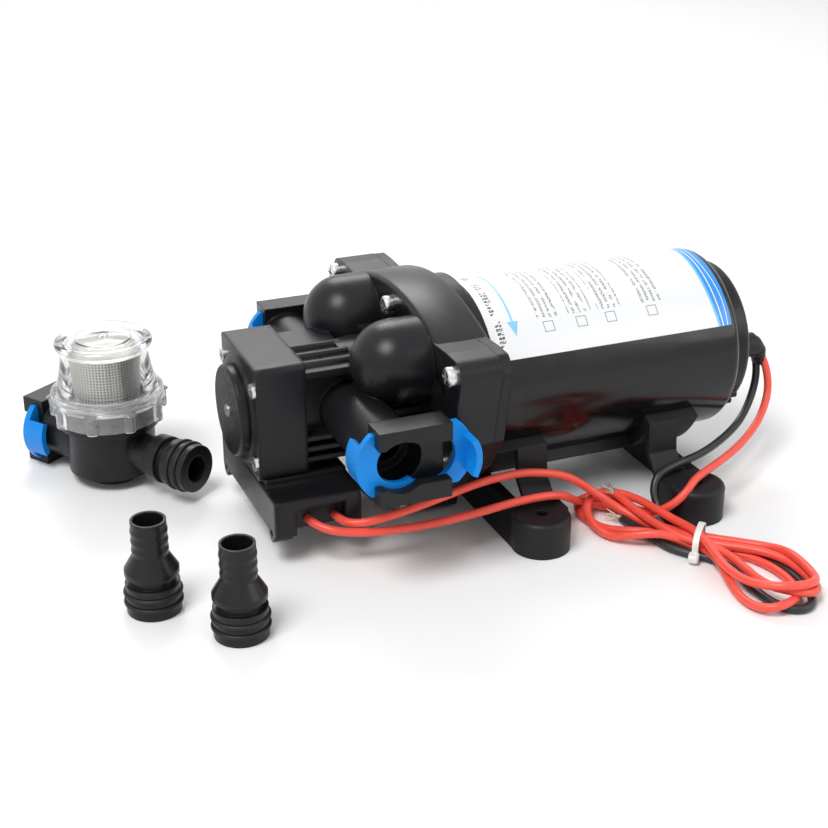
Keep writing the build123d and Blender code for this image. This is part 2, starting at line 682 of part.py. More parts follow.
def chamber_places():
    return [polar(CHAMBER_PITCH, 90 + index * 360 / CHAMBERS) for index in range(CHAMBERS)]


def wobble_hub():
    journal = rod_x(JOURNAL_RADIUS, HUB_FRONT, WOBBLE_BEARING_REAR + SLIDE_GAP)
    collar_start = WOBBLE_BEARING_REAR + SLIDE_GAP
    collar = rod_x(JOURNAL_COLLAR, collar_start, collar_start + JOURNAL_COLLAR_LENGTH)
    hub = leaning(journal + collar)
    return hub - on_axis(rod_x(SHAFT_RADIUS, HUB_FRONT - 2 * OVERRUN, BELL_REAR))


def wobble_bearing():
    ring = rod_x(WOBBLE_BEARING_RADIUS, WOBBLE_BEARING_FRONT, WOBBLE_BEARING_REAR)
    ring -= rod_x(JOURNAL_RADIUS + RUN_GAP, WOBBLE_BEARING_FRONT - OVERRUN, WOBBLE_BEARING_REAR + OVERRUN)
    return leaning(ring)


def wobble_plate():
    plate = rod_x(WOBBLE_DISC_RADIUS, POST_REAR, DISC_REAR)
    plate += rod_x(WOBBLE_HUB_RADIUS, POST_REAR, WOBBLE_BEARING_REAR)
    for index in range(CHAMBERS):
        y, z = polar(WOBBLE_DISC_RADIUS, 90 + (index + 0.5) * 360 / CHAMBERS)
        plate -= rod_x(CHAMBER_RADIUS, POST_REAR - OVERRUN, DISC_REAR + OVERRUN, y, z)
    plate -= rod_x(WOBBLE_BEARING_RADIUS, WOBBLE_BEARING_FRONT, WOBBLE_BEARING_REAR + OVERRUN)
    plate -= rod_x(WOBBLE_BEARING_RADIUS - HUB_CLEARANCE, WOBBLE_BEARING_FRONT - HUB_CLEARANCE, DISC_REAR)
    for y, z in chamber_places():
        plate += rod_x(WOBBLE_POST_RADIUS, SHEET_REAR, POST_REAR, y, z)
    for y, z in chamber_places():
        plate -= rod_x(PISTON_SCREW_RADIUS, SHEET_REAR - OVERRUN, DISC_REAR + OVERRUN, y, z)
    return leaning(plate)


def diaphragm_cups():
    cups = []
    for y, z in chamber_places():
        cup = rod_x(CHAMBER_RADIUS - CUP_GAP, PLATE_REAR, SHEET_REAR, y, z)
        cups.append(leaning(cup - rod_x(PISTON_SCREW_RADIUS, PLATE_REAR - OVERRUN, SHEET_REAR + OVERRUN, y, z)))
    return cups


def pistons():
    tops = []
    for y, z in chamber_places():
        top = rod_x(PISTON_RADIUS, PLATE_REAR - PISTON_THICKNESS, PLATE_REAR, y, z)
        tops.append(leaning(top - rod_x(PISTON_SCREW_RADIUS, PLATE_REAR - 2 * OVERRUN, PLATE_REAR + OVERRUN, y, z)))
    return tops


def piston_screws():
    screws = []
    start = PLATE_REAR - PISTON_THICKNESS
    for y, z in chamber_places():
        screw = rod_x(PISTON_SCREW_HEAD, start - PISTON_SCREW_HEAD_HEIGHT, start, y, z)
        screw += rod_x(PISTON_SCREW_RADIUS, start, start + PISTON_SCREW_LENGTH, y, z)
        screws.append(leaning(screw))
    return screws


# Pump head: band with domes and ports, valve plate, diaphragm sheet and lower housing

def band_face():
    half = [(y * BAND_HALF_WIDTH, z * BAND_TOP) for y, z in BAND_OUTLINE_SHARES]
    points = half + [(-y, z) for y, z in reversed(half)]
    return make_face(FilletPolyline(*points, radius=BAND_CORNER, close=True))


def head_screw_places():
    return [(-SIDE_SCREW_Y, SIDE_SCREW_Z), (0, TOP_SCREW_Z), (SIDE_SCREW_Y, SIDE_SCREW_Z),
            (-LOW_SCREW_Y, LOW_SCREW_Z), (LOW_SCREW_Y, LOW_SCREW_Z),
            (-LOW_SIDE_Y, LOW_SIDE_Z), (LOW_SIDE_Y, LOW_SIDE_Z)]


def port_body(reach, root, half_height):
    # A quick-connect port along +Y: barrel, square block and two jaws that hold the clip
    body = rod_y(PORT_BARREL, root, reach - PORT_BLOCK_DEPTH)
    body += block((-PORT_BLOCK_FRONT, PORT_BLOCK_REAR), (reach - PORT_BLOCK_DEPTH, reach), (-half_height, half_height))
    return body


def port_cuts(reach, root, passage_root):
    across = (-PORT_BLOCK_FRONT - OVERRUN, PORT_BLOCK_REAR + OVERRUN)
    slot_end = reach - CLIP_SETBACK + SLIDE_GAP
    slot_start = reach - CLIP_SETBACK - CLIP_THICKNESS - SLIDE_GAP
    slot_half = CLIP_HALF_HEIGHT + SLIDE_GAP
    cuts = rod_y(PORT_BORE, reach - PORT_BORE_DEPTH, reach + OVERRUN)
    cuts += block(across, (slot_start, slot_end), (-slot_half, slot_half))
    cuts += block(across, (slot_start, reach + OVERRUN), (-PORT_JAW_GAP_HALF, PORT_JAW_GAP_HALF))
    cuts += rod_y(PORT_PASSAGE, passage_root, reach - PORT_BORE_DEPTH + OVERRUN)
    return cuts


def head_ports(shape):
    # The same port on the near (-Y) and the far (+Y) side of the pump head
    return Pos(PORT_X, 0, 0) * shape + Pos(PORT_X, 0, 0) * mirror(shape, Plane.XZ)


def upper_housing():
    head = plate_x(band_face(), HEAD_FACE, BAND_REAR)
    for y in (-SIDE_SCREW_Y, SIDE_SCREW_Y):
        head += rod_x(SCREW_BOSS_RADIUS, HEAD_FACE, BAND_REAR, y, SIDE_SCREW_Z)
    for y in (-DOME_Y, DOME_Y):
        for z in (-DOME_Z, DOME_Z):
            head += rod_x(DOME_RADIUS, DOME_CENTRE_X, HEAD_FACE, y, z)
            head += Pos(DOME_CENTRE_X, y, z) * Sphere(DOME_RADIUS)
    head += rod_x(CENTRE_RADIUS, CENTRE_FRONT, HEAD_FACE)
    head += block((DOME_CENTRE_X, HEAD_FACE), (-DOME_Y, DOME_Y), (-WEB_THICKNESS / 2, WEB_THICKNESS / 2))
    for z in (-DOME_Z, DOME_Z):
        head += block((DOME_CENTRE_X, HEAD_FACE), (-DOME_Y, DOME_Y), (z - WEB_THICKNESS / 2, z + WEB_THICKNESS / 2))
    head += head_ports(port_body(PORT_REACH, 0, PORT_BLOCK_HALF_HEIGHT))
    head += switch_neck()
    # Water ways: four dome chambers, the middle chamber, and the two ports
    for y in (-DOME_Y, DOME_Y):
        for z in (-DOME_Z, DOME_Z):
            inner = DOME_RADIUS - DOME_WALL
            head -= Pos(DOME_CENTRE_X, y, z) * Sphere(inner)
            hollow = rod_x(inner, DOME_CENTRE_X, PLATE_FRONT, y, z)
            head -= hollow & rod_x(PUMP_CAVITY, DOME_CENTRE_X, PLATE_FRONT)
    head -= rod_x(CENTRE_RADIUS - 2 * CENTRE_WALL, CENTRE_FRONT + CENTRE_WALL, PLATE_FRONT)
    head -= rod_x(PUMP_CAVITY, PLATE_FRONT, BAND_REAR + OVERRUN)
    head -= rod_x(PUMP_CAVITY - CENTRE_WALL, PLATE_FRONT - CENTRE_WALL, PLATE_FRONT)
    head -= head_ports(port_cuts(PORT_REACH, 0, DOME_Y))
    head -= rod_x(PORT_PASSAGE / 2, SWITCH_FACE, CENTRE_FRONT + 2 * CENTRE_WALL)
    head += divider_wall()
    for y, z in head_screw_places():
        head -= rod_x(HEAD_SCREW_RADIUS + SEAT_GAP, HEAD_FACE - OVERRUN, BAND_REAR + OVERRUN, y, z)
    return on_axis(head)


def divider_wall():
    # Ring between the outlet chamber in the middle and the inlet chamber round it
    wall = rod_x(DIVIDER_RADIUS, HEAD_FACE, PLATE_FRONT)
    return wall - rod_x(DIVIDER_RADIUS - DIVIDER_WALL, HEAD_FACE - OVERRUN, PLATE_FRONT + OVERRUN)


def switch_neck():
    # Joins the middle chamber to the pressure switch, with a top plate and side ribs
    rear = CENTRE_FRONT + CENTRE_WALL
    front = SWITCH_FACE + SWITCH_DEPTH
    neck = block((front, rear), (-NECK_CORE_HALF, NECK_CORE_HALF), (-NECK_CORE_HALF, NECK_TOP))
    neck += block((front, rear), (-NECK_HALF_WIDTH, NECK_HALF_WIDTH), (NECK_TOP - NECK_PLATE, NECK_TOP))
    for index in range(NECK_RIBS):
        low = -NECK_CORE_HALF - NECK_RIB + index * NECK_RIB_PITCH
        neck += block((front, rear), (-NECK_HALF_WIDTH, NECK_HALF_WIDTH), (low, low + NECK_RIB))
        y = index * NECK_RIB_PITCH * 2 - NECK_CORE_HALF
        neck += rod_x(NECK_RIB, front, rear, y, NECK_TOP)
    return neck


def valve_plate():
    plate = rod_x(PUMP_CAVITY - SEAT_GAP, PLATE_FRONT, PLATE_REAR)
    floor = PLATE_REAR - CHAMBER_DEPTH
    for index in range(CHAMBERS):
        turn = 90 + index * 360 / CHAMBERS
        y, z = polar(CHAMBER_PITCH, turn)
        plate -= rod_x(CHAMBER_RADIUS, floor, PLATE_REAR + OVERRUN, y, z)
        y, z = polar(CHAMBER_PITCH + INLET_VALVE_OFFSET, turn)
        plate -= rod_x(VALVE_STEM_RADIUS, PLATE_FRONT - OVERRUN, floor + OVERRUN, y, z)
        for hole in range(3):
            dy, dz = polar(INLET_HOLE_PITCH, turn + hole * 120)
            plate -= rod_x(INLET_HOLE, PLATE_FRONT - OVERRUN, floor + OVERRUN, y + dy, z + dz)
        y, z = polar(OUTLET_HOLE_RADIUS, turn)
        plate -= rod_x(OUTLET_HOLE, PLATE_FRONT - OVERRUN, floor + OVERRUN, y, z)
    plate -= rod_x(OUTLET_STEM_RADIUS, PLATE_FRONT - OVERRUN, PLATE_REAR + OVERRUN)
    return on_axis(plate)


def inlet_valves():
    valves = []
    floor = PLATE_REAR - CHAMBER_DEPTH
    for index in range(CHAMBERS):
        y, z = polar(CHAMBER_PITCH + INLET_VALVE_OFFSET, 90 + index * 360 / CHAMBERS)
        valve = rod_x(INLET_VALVE_RADIUS, floor, floor + INLET_VALVE_THICKNESS, y, z)
        valve += rod_x(VALVE_STEM_RADIUS, PLATE_FRONT, floor, y, z)
        valve += rod_x(VALVE_KNOB_RADIUS, PLATE_FRONT - VALVE_KNOB_LENGTH, PLATE_FRONT, y, z)
        valves.append(on_axis(valve))
    return valves


def outlet_valve():
    valve = rod_x(OUTLET_VALVE_RADIUS, PLATE_FRONT - OUTLET_VALVE_THICKNESS, PLATE_FRONT)
    valve += rod_x(OUTLET_STEM_RADIUS, PLATE_FRONT, PLATE_REAR - SHEET_THICKNESS)
    valve += rod_x(OUTLET_KNOB_RADIUS, PLATE_FRONT - 2 * OUTLET_VALVE_THICKNESS, PLATE_FRONT)
    return on_axis(valve)


def diaphragm():
    sheet = rod_x(PUMP_CAVITY - SEAT_GAP, PLATE_REAR, SHEET_REAR)
    for y, z in chamber_places():
        sheet -= rod_x(CHAMBER_RADIUS, PLATE_REAR - OVERRUN, SHEET_REAR + OVERRUN, y, z)
    return on_axis(sheet)


def lower_housing():
    flange_rear = BAND_REAR + HOUSING_FLANGE
    body = plate_x(band_face(), BAND_REAR, flange_rear)
    body += rod_x(PUMP_CAVITY - SEAT_GAP, SHEET_REAR, BAND_REAR)
    body += turned_x((BAND_REAR, 0), (BAND_REAR, HOUSING_RADIUS), (HOUSING_REAR - HOUSING_SHOULDER / 2, HOUSING_RADIUS),
                     (HOUSING_REAR, HOUSING_RADIUS - HOUSING_SHOULDER), (HOUSING_REAR, 0))
    body -= rod_x(HOUSING_BORE, SHEET_REAR - OVERRUN, HOUSING_REAR + OVERRUN)
    for y, z in head_screw_places():
        body -= rod_x(HEAD_SCREW_RADIUS + SEAT_GAP, BAND_REAR - OVERRUN, flange_rear + OVERRUN, y, z)
    return on_axis(body)


def cross_recess(radius_x, face, y, z):
    # A cross slot in a screw head that faces the front
    depth = (face - OVERRUN, face + CROSS_DEPTH)
    half_long, half_wide = radius_x / 2, CROSS_WIDTH / 2
    slot = block(depth, (y - half_long, y + half_long), (z - half_wide, z + half_wide))
    return slot + block(depth, (y - half_wide, y + half_wide), (z - half_long, z + half_long))


def head_screws():
    pieces = []
    seat = HEAD_FACE - WASHER_THICKNESS
    top = seat - HEAD_SCREW_HEAD_HEIGHT
    shank_end = BAND_REAR + HOUSING_FLANGE
    for y, z in head_screw_places():
        head = rod_x(HEAD_SCREW_HEAD, top, seat, y, z)
        head = fillet(head.edges().filter_by(GeomType.CIRCLE).sort_by(Axis.X)[0], HEAD_SCREW_HEAD_HEIGHT / 2)
        head += rod_x(HEAD_SCREW_RADIUS, seat, shank_end, y, z)
        pieces.append(on_axis(head - cross_recess(CROSS_LENGTH, top, y, z)))
        washer = rod_x(HEAD_SCREW_HEAD, seat, HEAD_FACE, y, z)
        pieces.append(on_axis(washer - rod_x(HEAD_SCREW_RADIUS + SEAT_GAP, seat - OVERRUN, HEAD_FACE, y, z)))
    return pieces


def port_clip():
    # Along +Y like the port: a plate with a keyhole between two round ends. One end
    # has a thumb grip that reaches forward, and the other a grip that reaches back.
    front = CLIP_END_RADIUS - CLIP_FRONT
    rear = CLIP_REAR - CLIP_END_RADIUS
    plate = rod_y(CLIP_END_RADIUS, 0, CLIP_THICKNESS, front) + rod_y(CLIP_END_RADIUS, 0, CLIP_THICKNESS, rear)
    plate += block((front, rear), (0, CLIP_THICKNESS), (-CLIP_END_RADIUS, CLIP_END_RADIUS))
    plate &= block((-CLIP_FRONT, CLIP_REAR), (0, CLIP_THICKNESS), (-CLIP_HALF_HEIGHT, CLIP_HALF_HEIGHT))
    for middle, centre, start in ((180, front, CLIP_THICKNESS - CLIP_GRIP_DEPTH), (0, rear, 0)):
        face = sector(CLIP_END_RADIUS - CLIP_GRIP_THICKNESS, CLIP_END_RADIUS, middle, CLIP_GRIP_HALF_ANGLE)
        grip = extrude(Plane.XZ * face, -CLIP_GRIP_DEPTH)
        plate += Pos(centre, start, 0) * grip
    plate -= rod_y(CLIP_SMALL_HOLE, -OVERRUN, CLIP_THICKNESS + OVERRUN)
    plate -= rod_y(CLIP_LARGE_HOLE, -OVERRUN, CLIP_THICKNESS + OVERRUN, CLIP_TRAVEL)
    neck_half = CLIP_SMALL_HOLE - CLIP_GRIP_THICKNESS
    plate -= block((0, CLIP_TRAVEL), (-OVERRUN, CLIP_THICKNESS + OVERRUN), (-neck_half, neck_half))
    return plate


def clip_in_port(reach):
    return Pos(0, reach - CLIP_SETBACK - CLIP_THICKNESS, 0) * port_clip()


def near_port_clip():
    return on_axis(Pos(PORT_X, 0, 0) * mirror(clip_in_port(PORT_REACH), Plane.XZ))


def far_port_clip():
    return on_axis(Pos(PORT_X, 0, 0) * clip_in_port(PORT_REACH))


# Pressure switch on the front of the head, with its box underneath

SWITCH_REAR = SWITCH_FACE + SWITCH_DEPTH
SWITCH_SHEET_FRONT = SWITCH_REAR - SWITCH_SHEET_THICKNESS
RING_FACE = SWITCH_FACE - SWITCH_RING_DEPTH
PLUNGER_REAR = SWITCH_SHEET_FRONT - SLIDE_GAP
PLUNGER_FRONT = PLUNGER_REAR - PLUNGER_THICKNESS
ADJUSTER_FRONT = RING_FACE - SWITCH_CAP_DEPTH - ADJUSTER_PROUD
ADJUSTER_REAR = ADJUSTER_FRONT + ADJUSTER_LENGTH
SPRING_FRONT = ADJUSTER_REAR + SWITCH_SPRING_WIRE


def switch_screw_places():
    return [(y, z) for y in (-SWITCH_SCREW_Y, SWITCH_SCREW_Y) for z in (-SWITCH_SCREW_Z, SWITCH_SCREW_Z)]


def switch_body():
    body = block((SWITCH_FACE, SWITCH_REAR), (-SWITCH_HALF_WIDTH, SWITCH_HALF_WIDTH), (-SWITCH_BOTTOM, SWITCH_TOP))
    body = fillet(body.edges().filter_by(Axis.X), SWITCH_EDGE)
    body += rod_x(SWITCH_RING_RADIUS, RING_FACE, SWITCH_FACE)
    half = SWITCH_CHAMBER_HALF
    body -= block((SWITCH_FACE + CENTRE_WALL, SWITCH_REAR + OVERRUN), (-half, half), (-half, half))
    body -= rod_x(SWITCH_SHEET_RADIUS + SEAT_GAP, SWITCH_SHEET_FRONT, SWITCH_REAR + OVERRUN)
    body -= rod_x(ADJUSTER_RADIUS + RUN_GAP, RING_FACE - OVERRUN, SWITCH_REAR)
    for y, z in switch_screw_places():
        body -= rod_x(SWITCH_SCREW_RADIUS + SEAT_GAP, RING_FACE - OVERRUN, SWITCH_REAR + OVERRUN, y, z)
        body -= rod_x(SWITCH_SCREW_HEAD + SEAT_GAP, RING_FACE - OVERRUN, SWITCH_FACE, y, z)
    return on_axis(body)


def switch_cap():
    cap = rod_x(SWITCH_CAP_RADIUS, RING_FACE - SWITCH_CAP_DEPTH, RING_FACE)
    edge = cap.edges().filter_by(GeomType.CIRCLE).sort_by(Axis.X)[0]
    cap = chamfer(edge, SWITCH_RING_DEPTH / 2)
    cap -= rod_x(ADJUSTER_RADIUS + RUN_GAP, RING_FACE - 2 * SWITCH_CAP_DEPTH, SWITCH_FACE)
    return on_axis(cap)


def switch_adjuster():
    screw = rod_x(ADJUSTER_RADIUS, ADJUSTER_FRONT, ADJUSTER_REAR)
    socket = RegularPolygon(HEX_RADIUS, 6)
    screw -= plate_x(socket, ADJUSTER_FRONT - OVERRUN, ADJUSTER_FRONT + HEX_DEPTH)
    return on_axis(screw)


def switch_spring():
    gap = SLIDE_GAP + SWITCH_SPRING_WIRE
    length = PLUNGER_FRONT - PLUNGER_STEM_LENGTH - ADJUSTER_REAR - 2 * gap
    start = ADJUSTER_REAR + gap
    helix = Helix(length / SWITCH_SPRING_TURNS, length, SWITCH_SPRING_RADIUS)
    wire = sweep(Plane(helix @ 0, z_dir=helix % 0) * RegularPolygon(SWITCH_SPRING_WIRE, 6), helix, is_frenet=True)
    return on_axis(Pos(start, 0, 0) * Rot(0, 90, 0) * wire)


def switch_plunger():
    plunger = rod_x(PLUNGER_RADIUS, PLUNGER_FRONT, PLUNGER_REAR)
    plunger += rod_x(PLUNGER_STEM, PLUNGER_FRONT - PLUNGER_STEM_LENGTH, PLUNGER_FRONT)
    half = PLUNGER_TAB_WIDTH / 2
    plunger += block((PLUNGER_FRONT, PLUNGER_REAR), (-half, half), (-SWITCH_CHAMBER_HALF + SLIDE_GAP, 0))
    return on_axis(plunger)


def switch_diaphragm():
    return on_axis(rod_x(SWITCH_SHEET_RADIUS, SWITCH_SHEET_FRONT, SWITCH_REAR))


def microswitch():
    button_end = PLUNGER_FRONT - PLUNGER_TRAVEL - SLIDE_GAP
    case_end = button_end - MICROSWITCH_BUTTON_LENGTH
    low = -SWITCH_CHAMBER_HALF
    half = MICROSWITCH_LENGTH / 2
    case = block((case_end - MICROSWITCH_HEIGHT, case_end), (-half, half), (low, low + MICROSWITCH_WIDTH))
    return on_axis(case + rod_x(MICROSWITCH_BUTTON, case_end, button_end, 0, low + MICROSWITCH_WIDTH / 2))


def switch_screws():
    pieces = []
    for y, z in switch_screw_places():
        top = SWITCH_FACE - SWITCH_SCREW_HEAD_HEIGHT
        screw = rod_x(SWITCH_SCREW_HEAD, top, SWITCH_FACE, y, z)
        screw += rod_x(SWITCH_SCREW_RADIUS, SWITCH_FACE, SWITCH_REAR, y, z)
        pieces.append(on_axis(screw - cross_recess(CROSS_LENGTH - CROSS_WIDTH, top, y, z)))
    return pieces


def switch_box():
    rear = BOX_FRONT + BOX_LENGTH
    bottom = BOX_TOP - BOX_HEIGHT
    box = block((BOX_FRONT, rear), (-BOX_HALF_WIDTH, BOX_HALF_WIDTH), (bottom, BOX_TOP))
    box = fillet(box.edges().filter_by(Axis.Z), BOX_EDGE)
    inset = COLLAR_INSET
    box += block((BOX_FRONT + inset, rear - inset), (-NECK_HALF_WIDTH, NECK_HALF_WIDTH), (BOX_TOP, -SWITCH_BOTTOM))
    start = BOX_FRONT + RECESS_START
    end = start + RECESS_LENGTH
    inner = -BOX_HALF_WIDTH + RECESS_DEPTH
    hood = Polyline((-BOX_HALF_WIDTH - OVERRUN, bottom - OVERRUN), (inner, bottom - OVERRUN),
                    (inner, bottom + RECESS_HEIGHT), (-BOX_HALF_WIDTH - OVERRUN, bottom + RECESS_HEIGHT + HOOD_DROP),
                    close=True)
    box -= plate_x(make_face(hood), start, end)
    box -= block((BOX_FRONT + BOX_WALL, rear - BOX_WALL), (inner + BOX_WALL, BOX_HALF_WIDTH - BOX_WALL),
                 (bottom - OVERRUN, BOX_TOP - BOX_WALL))
    for y in (-BOX_BOSS_Y, BOX_BOSS_Y):
        boss = rod_x(BOX_BOSS_RADIUS, BOX_FRONT, BOX_FRONT + BOX_BOSS_LENGTH, y, bottom)
        box += boss
    for y in (-BOX_BOSS_Y, BOX_BOSS_Y):
        box -= rod_x(BOX_BOSS_BORE, BOX_FRONT - OVERRUN, BOX_FRONT + BOX_BOSS_LENGTH + OVERRUN, y, bottom)
    return on_axis(box)


# Hose tails: a barbed tail and a spigot that the port clip holds by its wide groove

def spigot_profile(height, groove=True):
    # Grooves of a spigot that stands on its own end, as rings to cut away
    cuts = []
    for index in range(2):
        z = RING_START + index * RING_PITCH
        cuts.append(Pos(0, 0, z) * Torus(TAIL_RADIUS - RING_SINK + RING_WIRE, RING_WIRE))
    ring = rod_z(TAIL_RADIUS + OVERRUN, TAIL_GROOVE_START, TAIL_GROOVE_START + TAIL_GROOVE_WIDTH)
    cuts.append(ring - rod_z(TAIL_RADIUS - TAIL_GROOVE_DEPTH, 0, height))
    return cuts


def hose_tail():
    z = TAIL_SHOULDER + TAIL_CONE
    points = [(TAIL_BORE, 0), (TAIL_RADIUS, 0), (TAIL_RADIUS, TAIL_SHOULDER), (TAIL_TUBE_RADIUS, z)]
    for index in range(BARBS):
        points += [(TAIL_TUBE_RADIUS + BARB_HEIGHT, z + BARB_PITCH / 2), (TAIL_TUBE_RADIUS, z + BARB_PITCH)]
        z = z + BARB_PITCH
    points += [(TAIL_TUBE_RADIUS, TAIL_HEIGHT), (TAIL_BORE, TAIL_HEIGHT)]
    tail = turned_z(*points)
    for cut in spigot_profile(TAIL_HEIGHT):
        tail -= cut
    return tail


def tail_rings():
    return [Pos(0, 0, RING_START + index * RING_PITCH) * Torus(TAIL_RADIUS - RING_SINK + RING_WIRE, RING_WIRE)
            for index in range(2)]


# Inlet strainer: cup with a port and a spigot, screen, clear bowl and clear ring

def at_strainer(shape):
    return Pos(STRAINER_X, STRAINER_Y, 0) * Rot(0, 0, STRAINER_TURN) * shape


def strainer_spigot():
    # The spigot lies along +X with its open end at the reach
    return Pos(SPIGOT_REACH, 0, STRAINER_PORT_HEIGHT) * Rot(0, -90, 0)


def strainer_body():
    body = turned_z((0, 0), (STRAINER_FOOT_RADIUS - STRAINER_ROUND, 0), (STRAINER_FOOT_RADIUS, STRAINER_ROUND),
                    (STRAINER_FOOT_RADIUS, STRAINER_FOOT_HEIGHT), (STRAINER_RADIUS, STRAINER_FOOT_HEIGHT),
                    (STRAINER_RADIUS, STRAINER_BODY_HEIGHT),
                    (THREAD_RADIUS, STRAINER_BODY_HEIGHT), (THREAD_RADIUS, THREAD_HEIGHT), (0, THREAD_HEIGHT))
    body += strainer_spigot() * rod_z(TAIL_RADIUS, 0, SPIGOT_LENGTH)
    body += strainer_spigot() * rod_z(SPIGOT_NECK, SPIGOT_LENGTH, SPIGOT_REACH - STRAINER_RADIUS / 2)
    port = Pos(0, 0, STRAINER_PORT_HEIGHT) * Rot(0, 0, 90)
    body += port * port_body(STRAINER_PORT_REACH, STRAINER_RADIUS / 2, STRAINER_PORT_HEIGHT)
    body -= rod_z(STRAINER_CAVITY, STRAINER_FLOOR, THREAD_HEIGHT + OVERRUN)
    body -= port * port_cuts(STRAINER_PORT_REACH, 0, STRAINER_CAVITY / 2)
    body -= strainer_spigot() * rod_z(TAIL_BORE, -OVERRUN, SPIGOT_REACH - STRAINER_CAVITY / 2)
    for cut in spigot_profile(SPIGOT_LENGTH):
        body -= strainer_spigot() * cut
    return at_strainer(body)


def strainer_rings():
    return [at_strainer(strainer_spigot() * ring) for ring in tail_rings()]


def strainer_clip():
    port = Pos(0, 0, STRAINER_PORT_HEIGHT) * Rot(0, 0, 90)
    return at_strainer(port * clip_in_port(STRAINER_PORT_REACH))


def strainer_screen():
    bottom = STRAINER_FLOOR
    screen = rod_z(SCREEN_RADIUS, bottom, SCREEN_TOP)
    screen += block((-SCREEN_RADIUS - SCREEN_SEAM, -SCREEN_RADIUS + SCREEN_SEAM), (-SCREEN_SEAM, SCREEN_SEAM),
                    (bottom, SCREEN_TOP))
    screen -= rod_z(SCREEN_RADIUS - SCREEN_WALL, bottom - OVERRUN, SCREEN_TOP - SCREEN_WALL)
    return at_strainer(screen)


def strainer_bowl():
    top = BOWL_HEIGHT
    outer = turned_z((0, THREAD_HEIGHT), (THREAD_RADIUS, THREAD_HEIGHT), (THREAD_RADIUS, THREAD_HEIGHT + RING_LIP),
                     (BOWL_RADIUS - BOWL_BEAD, THREAD_HEIGHT + RING_LIP), (BOWL_RADIUS - BOWL_BEAD, top - 2 * BOWL_BEAD),
                     (BOWL_RADIUS, top - 2 * BOWL_BEAD), (BOWL_RADIUS, top - BOWL_BEAD / 2),
                     (BOWL_RADIUS - BOWL_BEAD, top), (0, top))
    outer -= rod_z(BOWL_TOP_RADIUS - BOWL_WALL, THREAD_HEIGHT - OVERRUN, top - BOWL_WALL)
    return at_strainer(outer)


def strainer_ring():
    inner = THREAD_RADIUS + SLIDE_GAP
    ring = rod_z(RING_OUTER, RING_TOP - RING_RIM, RING_TOP) + rod_z(RING_SKIRT, RING_BOTTOM, RING_TOP)
    for index in range(LUG_COUNT):
        x, y = polar(RING_SKIRT, index * 360 / LUG_COUNT)
        ring += rod_z(LUG_RADIUS, RING_BOTTOM, RING_TOP - RING_RIM, x, y)
    ring -= rod_z(inner, RING_BOTTOM - OVERRUN, THREAD_HEIGHT + RING_LIP + SLIDE_GAP)
    ring -= rod_z(BOWL_RADIUS - BOWL_BEAD + SLIDE_GAP, RING_BOTTOM, RING_TOP + OVERRUN)
    return at_strainer(ring)


def placed_tail(shape, x, y):
    return Pos(x, y, 0) * shape


# Leads, their hank, its tie and the stripped ends


def arc_radii(route):
    radii = []
    for before, corner, after in zip(route, route[1:], route[2:]):
        turn = math.radians((corner - before).get_angle(after - corner))
        shorter = min((corner - before).length, (after - corner).length)
        radii.append(ARC_SHARE * shorter / math.tan(turn / 2))
    return radii


def lead(name, points):
    # A tube along straight runs joined by tangent arcs
    route = [Vector(*point) for point in points]
    radii = arc_radii(route)
    path = FilletPolyline(*route, radius=radii)
    section = Plane(path @ 0, z_dir=path % 0) * Circle(LEAD_RADIUS)
    tube = sweep(section, path=path)
    share = tube.volume / (math.pi * LEAD_RADIUS ** 2 * path.length)
    print(name, "length", round(path.length, 1), "least radius", round(min(radii), 1), "volume share", round(share, 3))
    return tube


def switch_lead_upper():
    return lead("switch_lead_upper", UPPER_LEAD_ROUTE)


def switch_lead_lower():
    return lead("switch_lead_lower", LOWER_LEAD_ROUTE)


def motor_lead_red():
    return lead("motor_lead_red", RED_MOTOR_LEAD_ROUTE)


def motor_lead_black():
    return lead("motor_lead_black", BLACK_MOTOR_LEAD_ROUTE)


def at_tie(shape):
    return Pos(TIE_X, TIE_Y, 0) * Rot(0, 0, TIE_TURN) * shape


def tie_sleeve():
    # Space of the tie's strap round the bundle
    return at_tie(block((-TIE_SPAN / 2, TIE_SPAN / 2), (-TIE_WIDTH / 2, TIE_WIDTH / 2), (0, HANK_HEIGHT)))


def tie_bundle():
    # Leads squeezed together inside the strap
    half = TIE_SPAN / 2 - TIE_THICKNESS
    return at_tie(block((-half, half), (-TIE_WIDTH / 2, TIE_WIDTH / 2), (TIE_THICKNESS, HANK_HEIGHT - TIE_THICKNESS)))


def lead_hank():
    outline = make_face(Polyline(*HANK_OUTLINE, close=True))
    outline = fillet(outline.vertices(), HANK_CORNER)
    hank = extrude(outline, HANK_HEIGHT)
    hank -= at_tie(block((-TIE_SPAN, TIE_SPAN), (-TIE_WIDTH / 2, TIE_WIDTH / 2), (-OVERRUN, HANK_HEIGHT + OVERRUN)))
    hank -= tie_head(SLIDE_GAP)
    return hank + tie_bundle()


def tie_head(gap):
    start = -TIE_SPAN / 2
    half = TIE_HEAD_WIDTH / 2 + gap
    return at_tie(block((start - TIE_HEAD_LENGTH - gap, start), (-half, half), (0, TIE_HEAD_HEIGHT + gap)))


def cable_tie():
    return tie_sleeve() - tie_bundle() + tie_head(0)


def strands(x, y, z, heading):
    # Stripped end: a bare core with its strands fanned out
    tuft = rod_x(STRAND_RADIUS * 3, -STRAND_RADIUS * 4, STRAND_RADIUS * 8)
    for count in range(STRAND_COUNT):
        strand = rod_x(STRAND_RADIUS, STRAND_RADIUS * 4, STRAND_LENGTH, STRAND_RADIUS)
        tuft += Rot(count * 360 / STRAND_COUNT, 0, 0) * Rot(0, 0, STRAND_SPREAD * (1 + count % 2) / 2) * strand
    return Pos(x, y, z) * Rot(0, 0, heading) * tuft


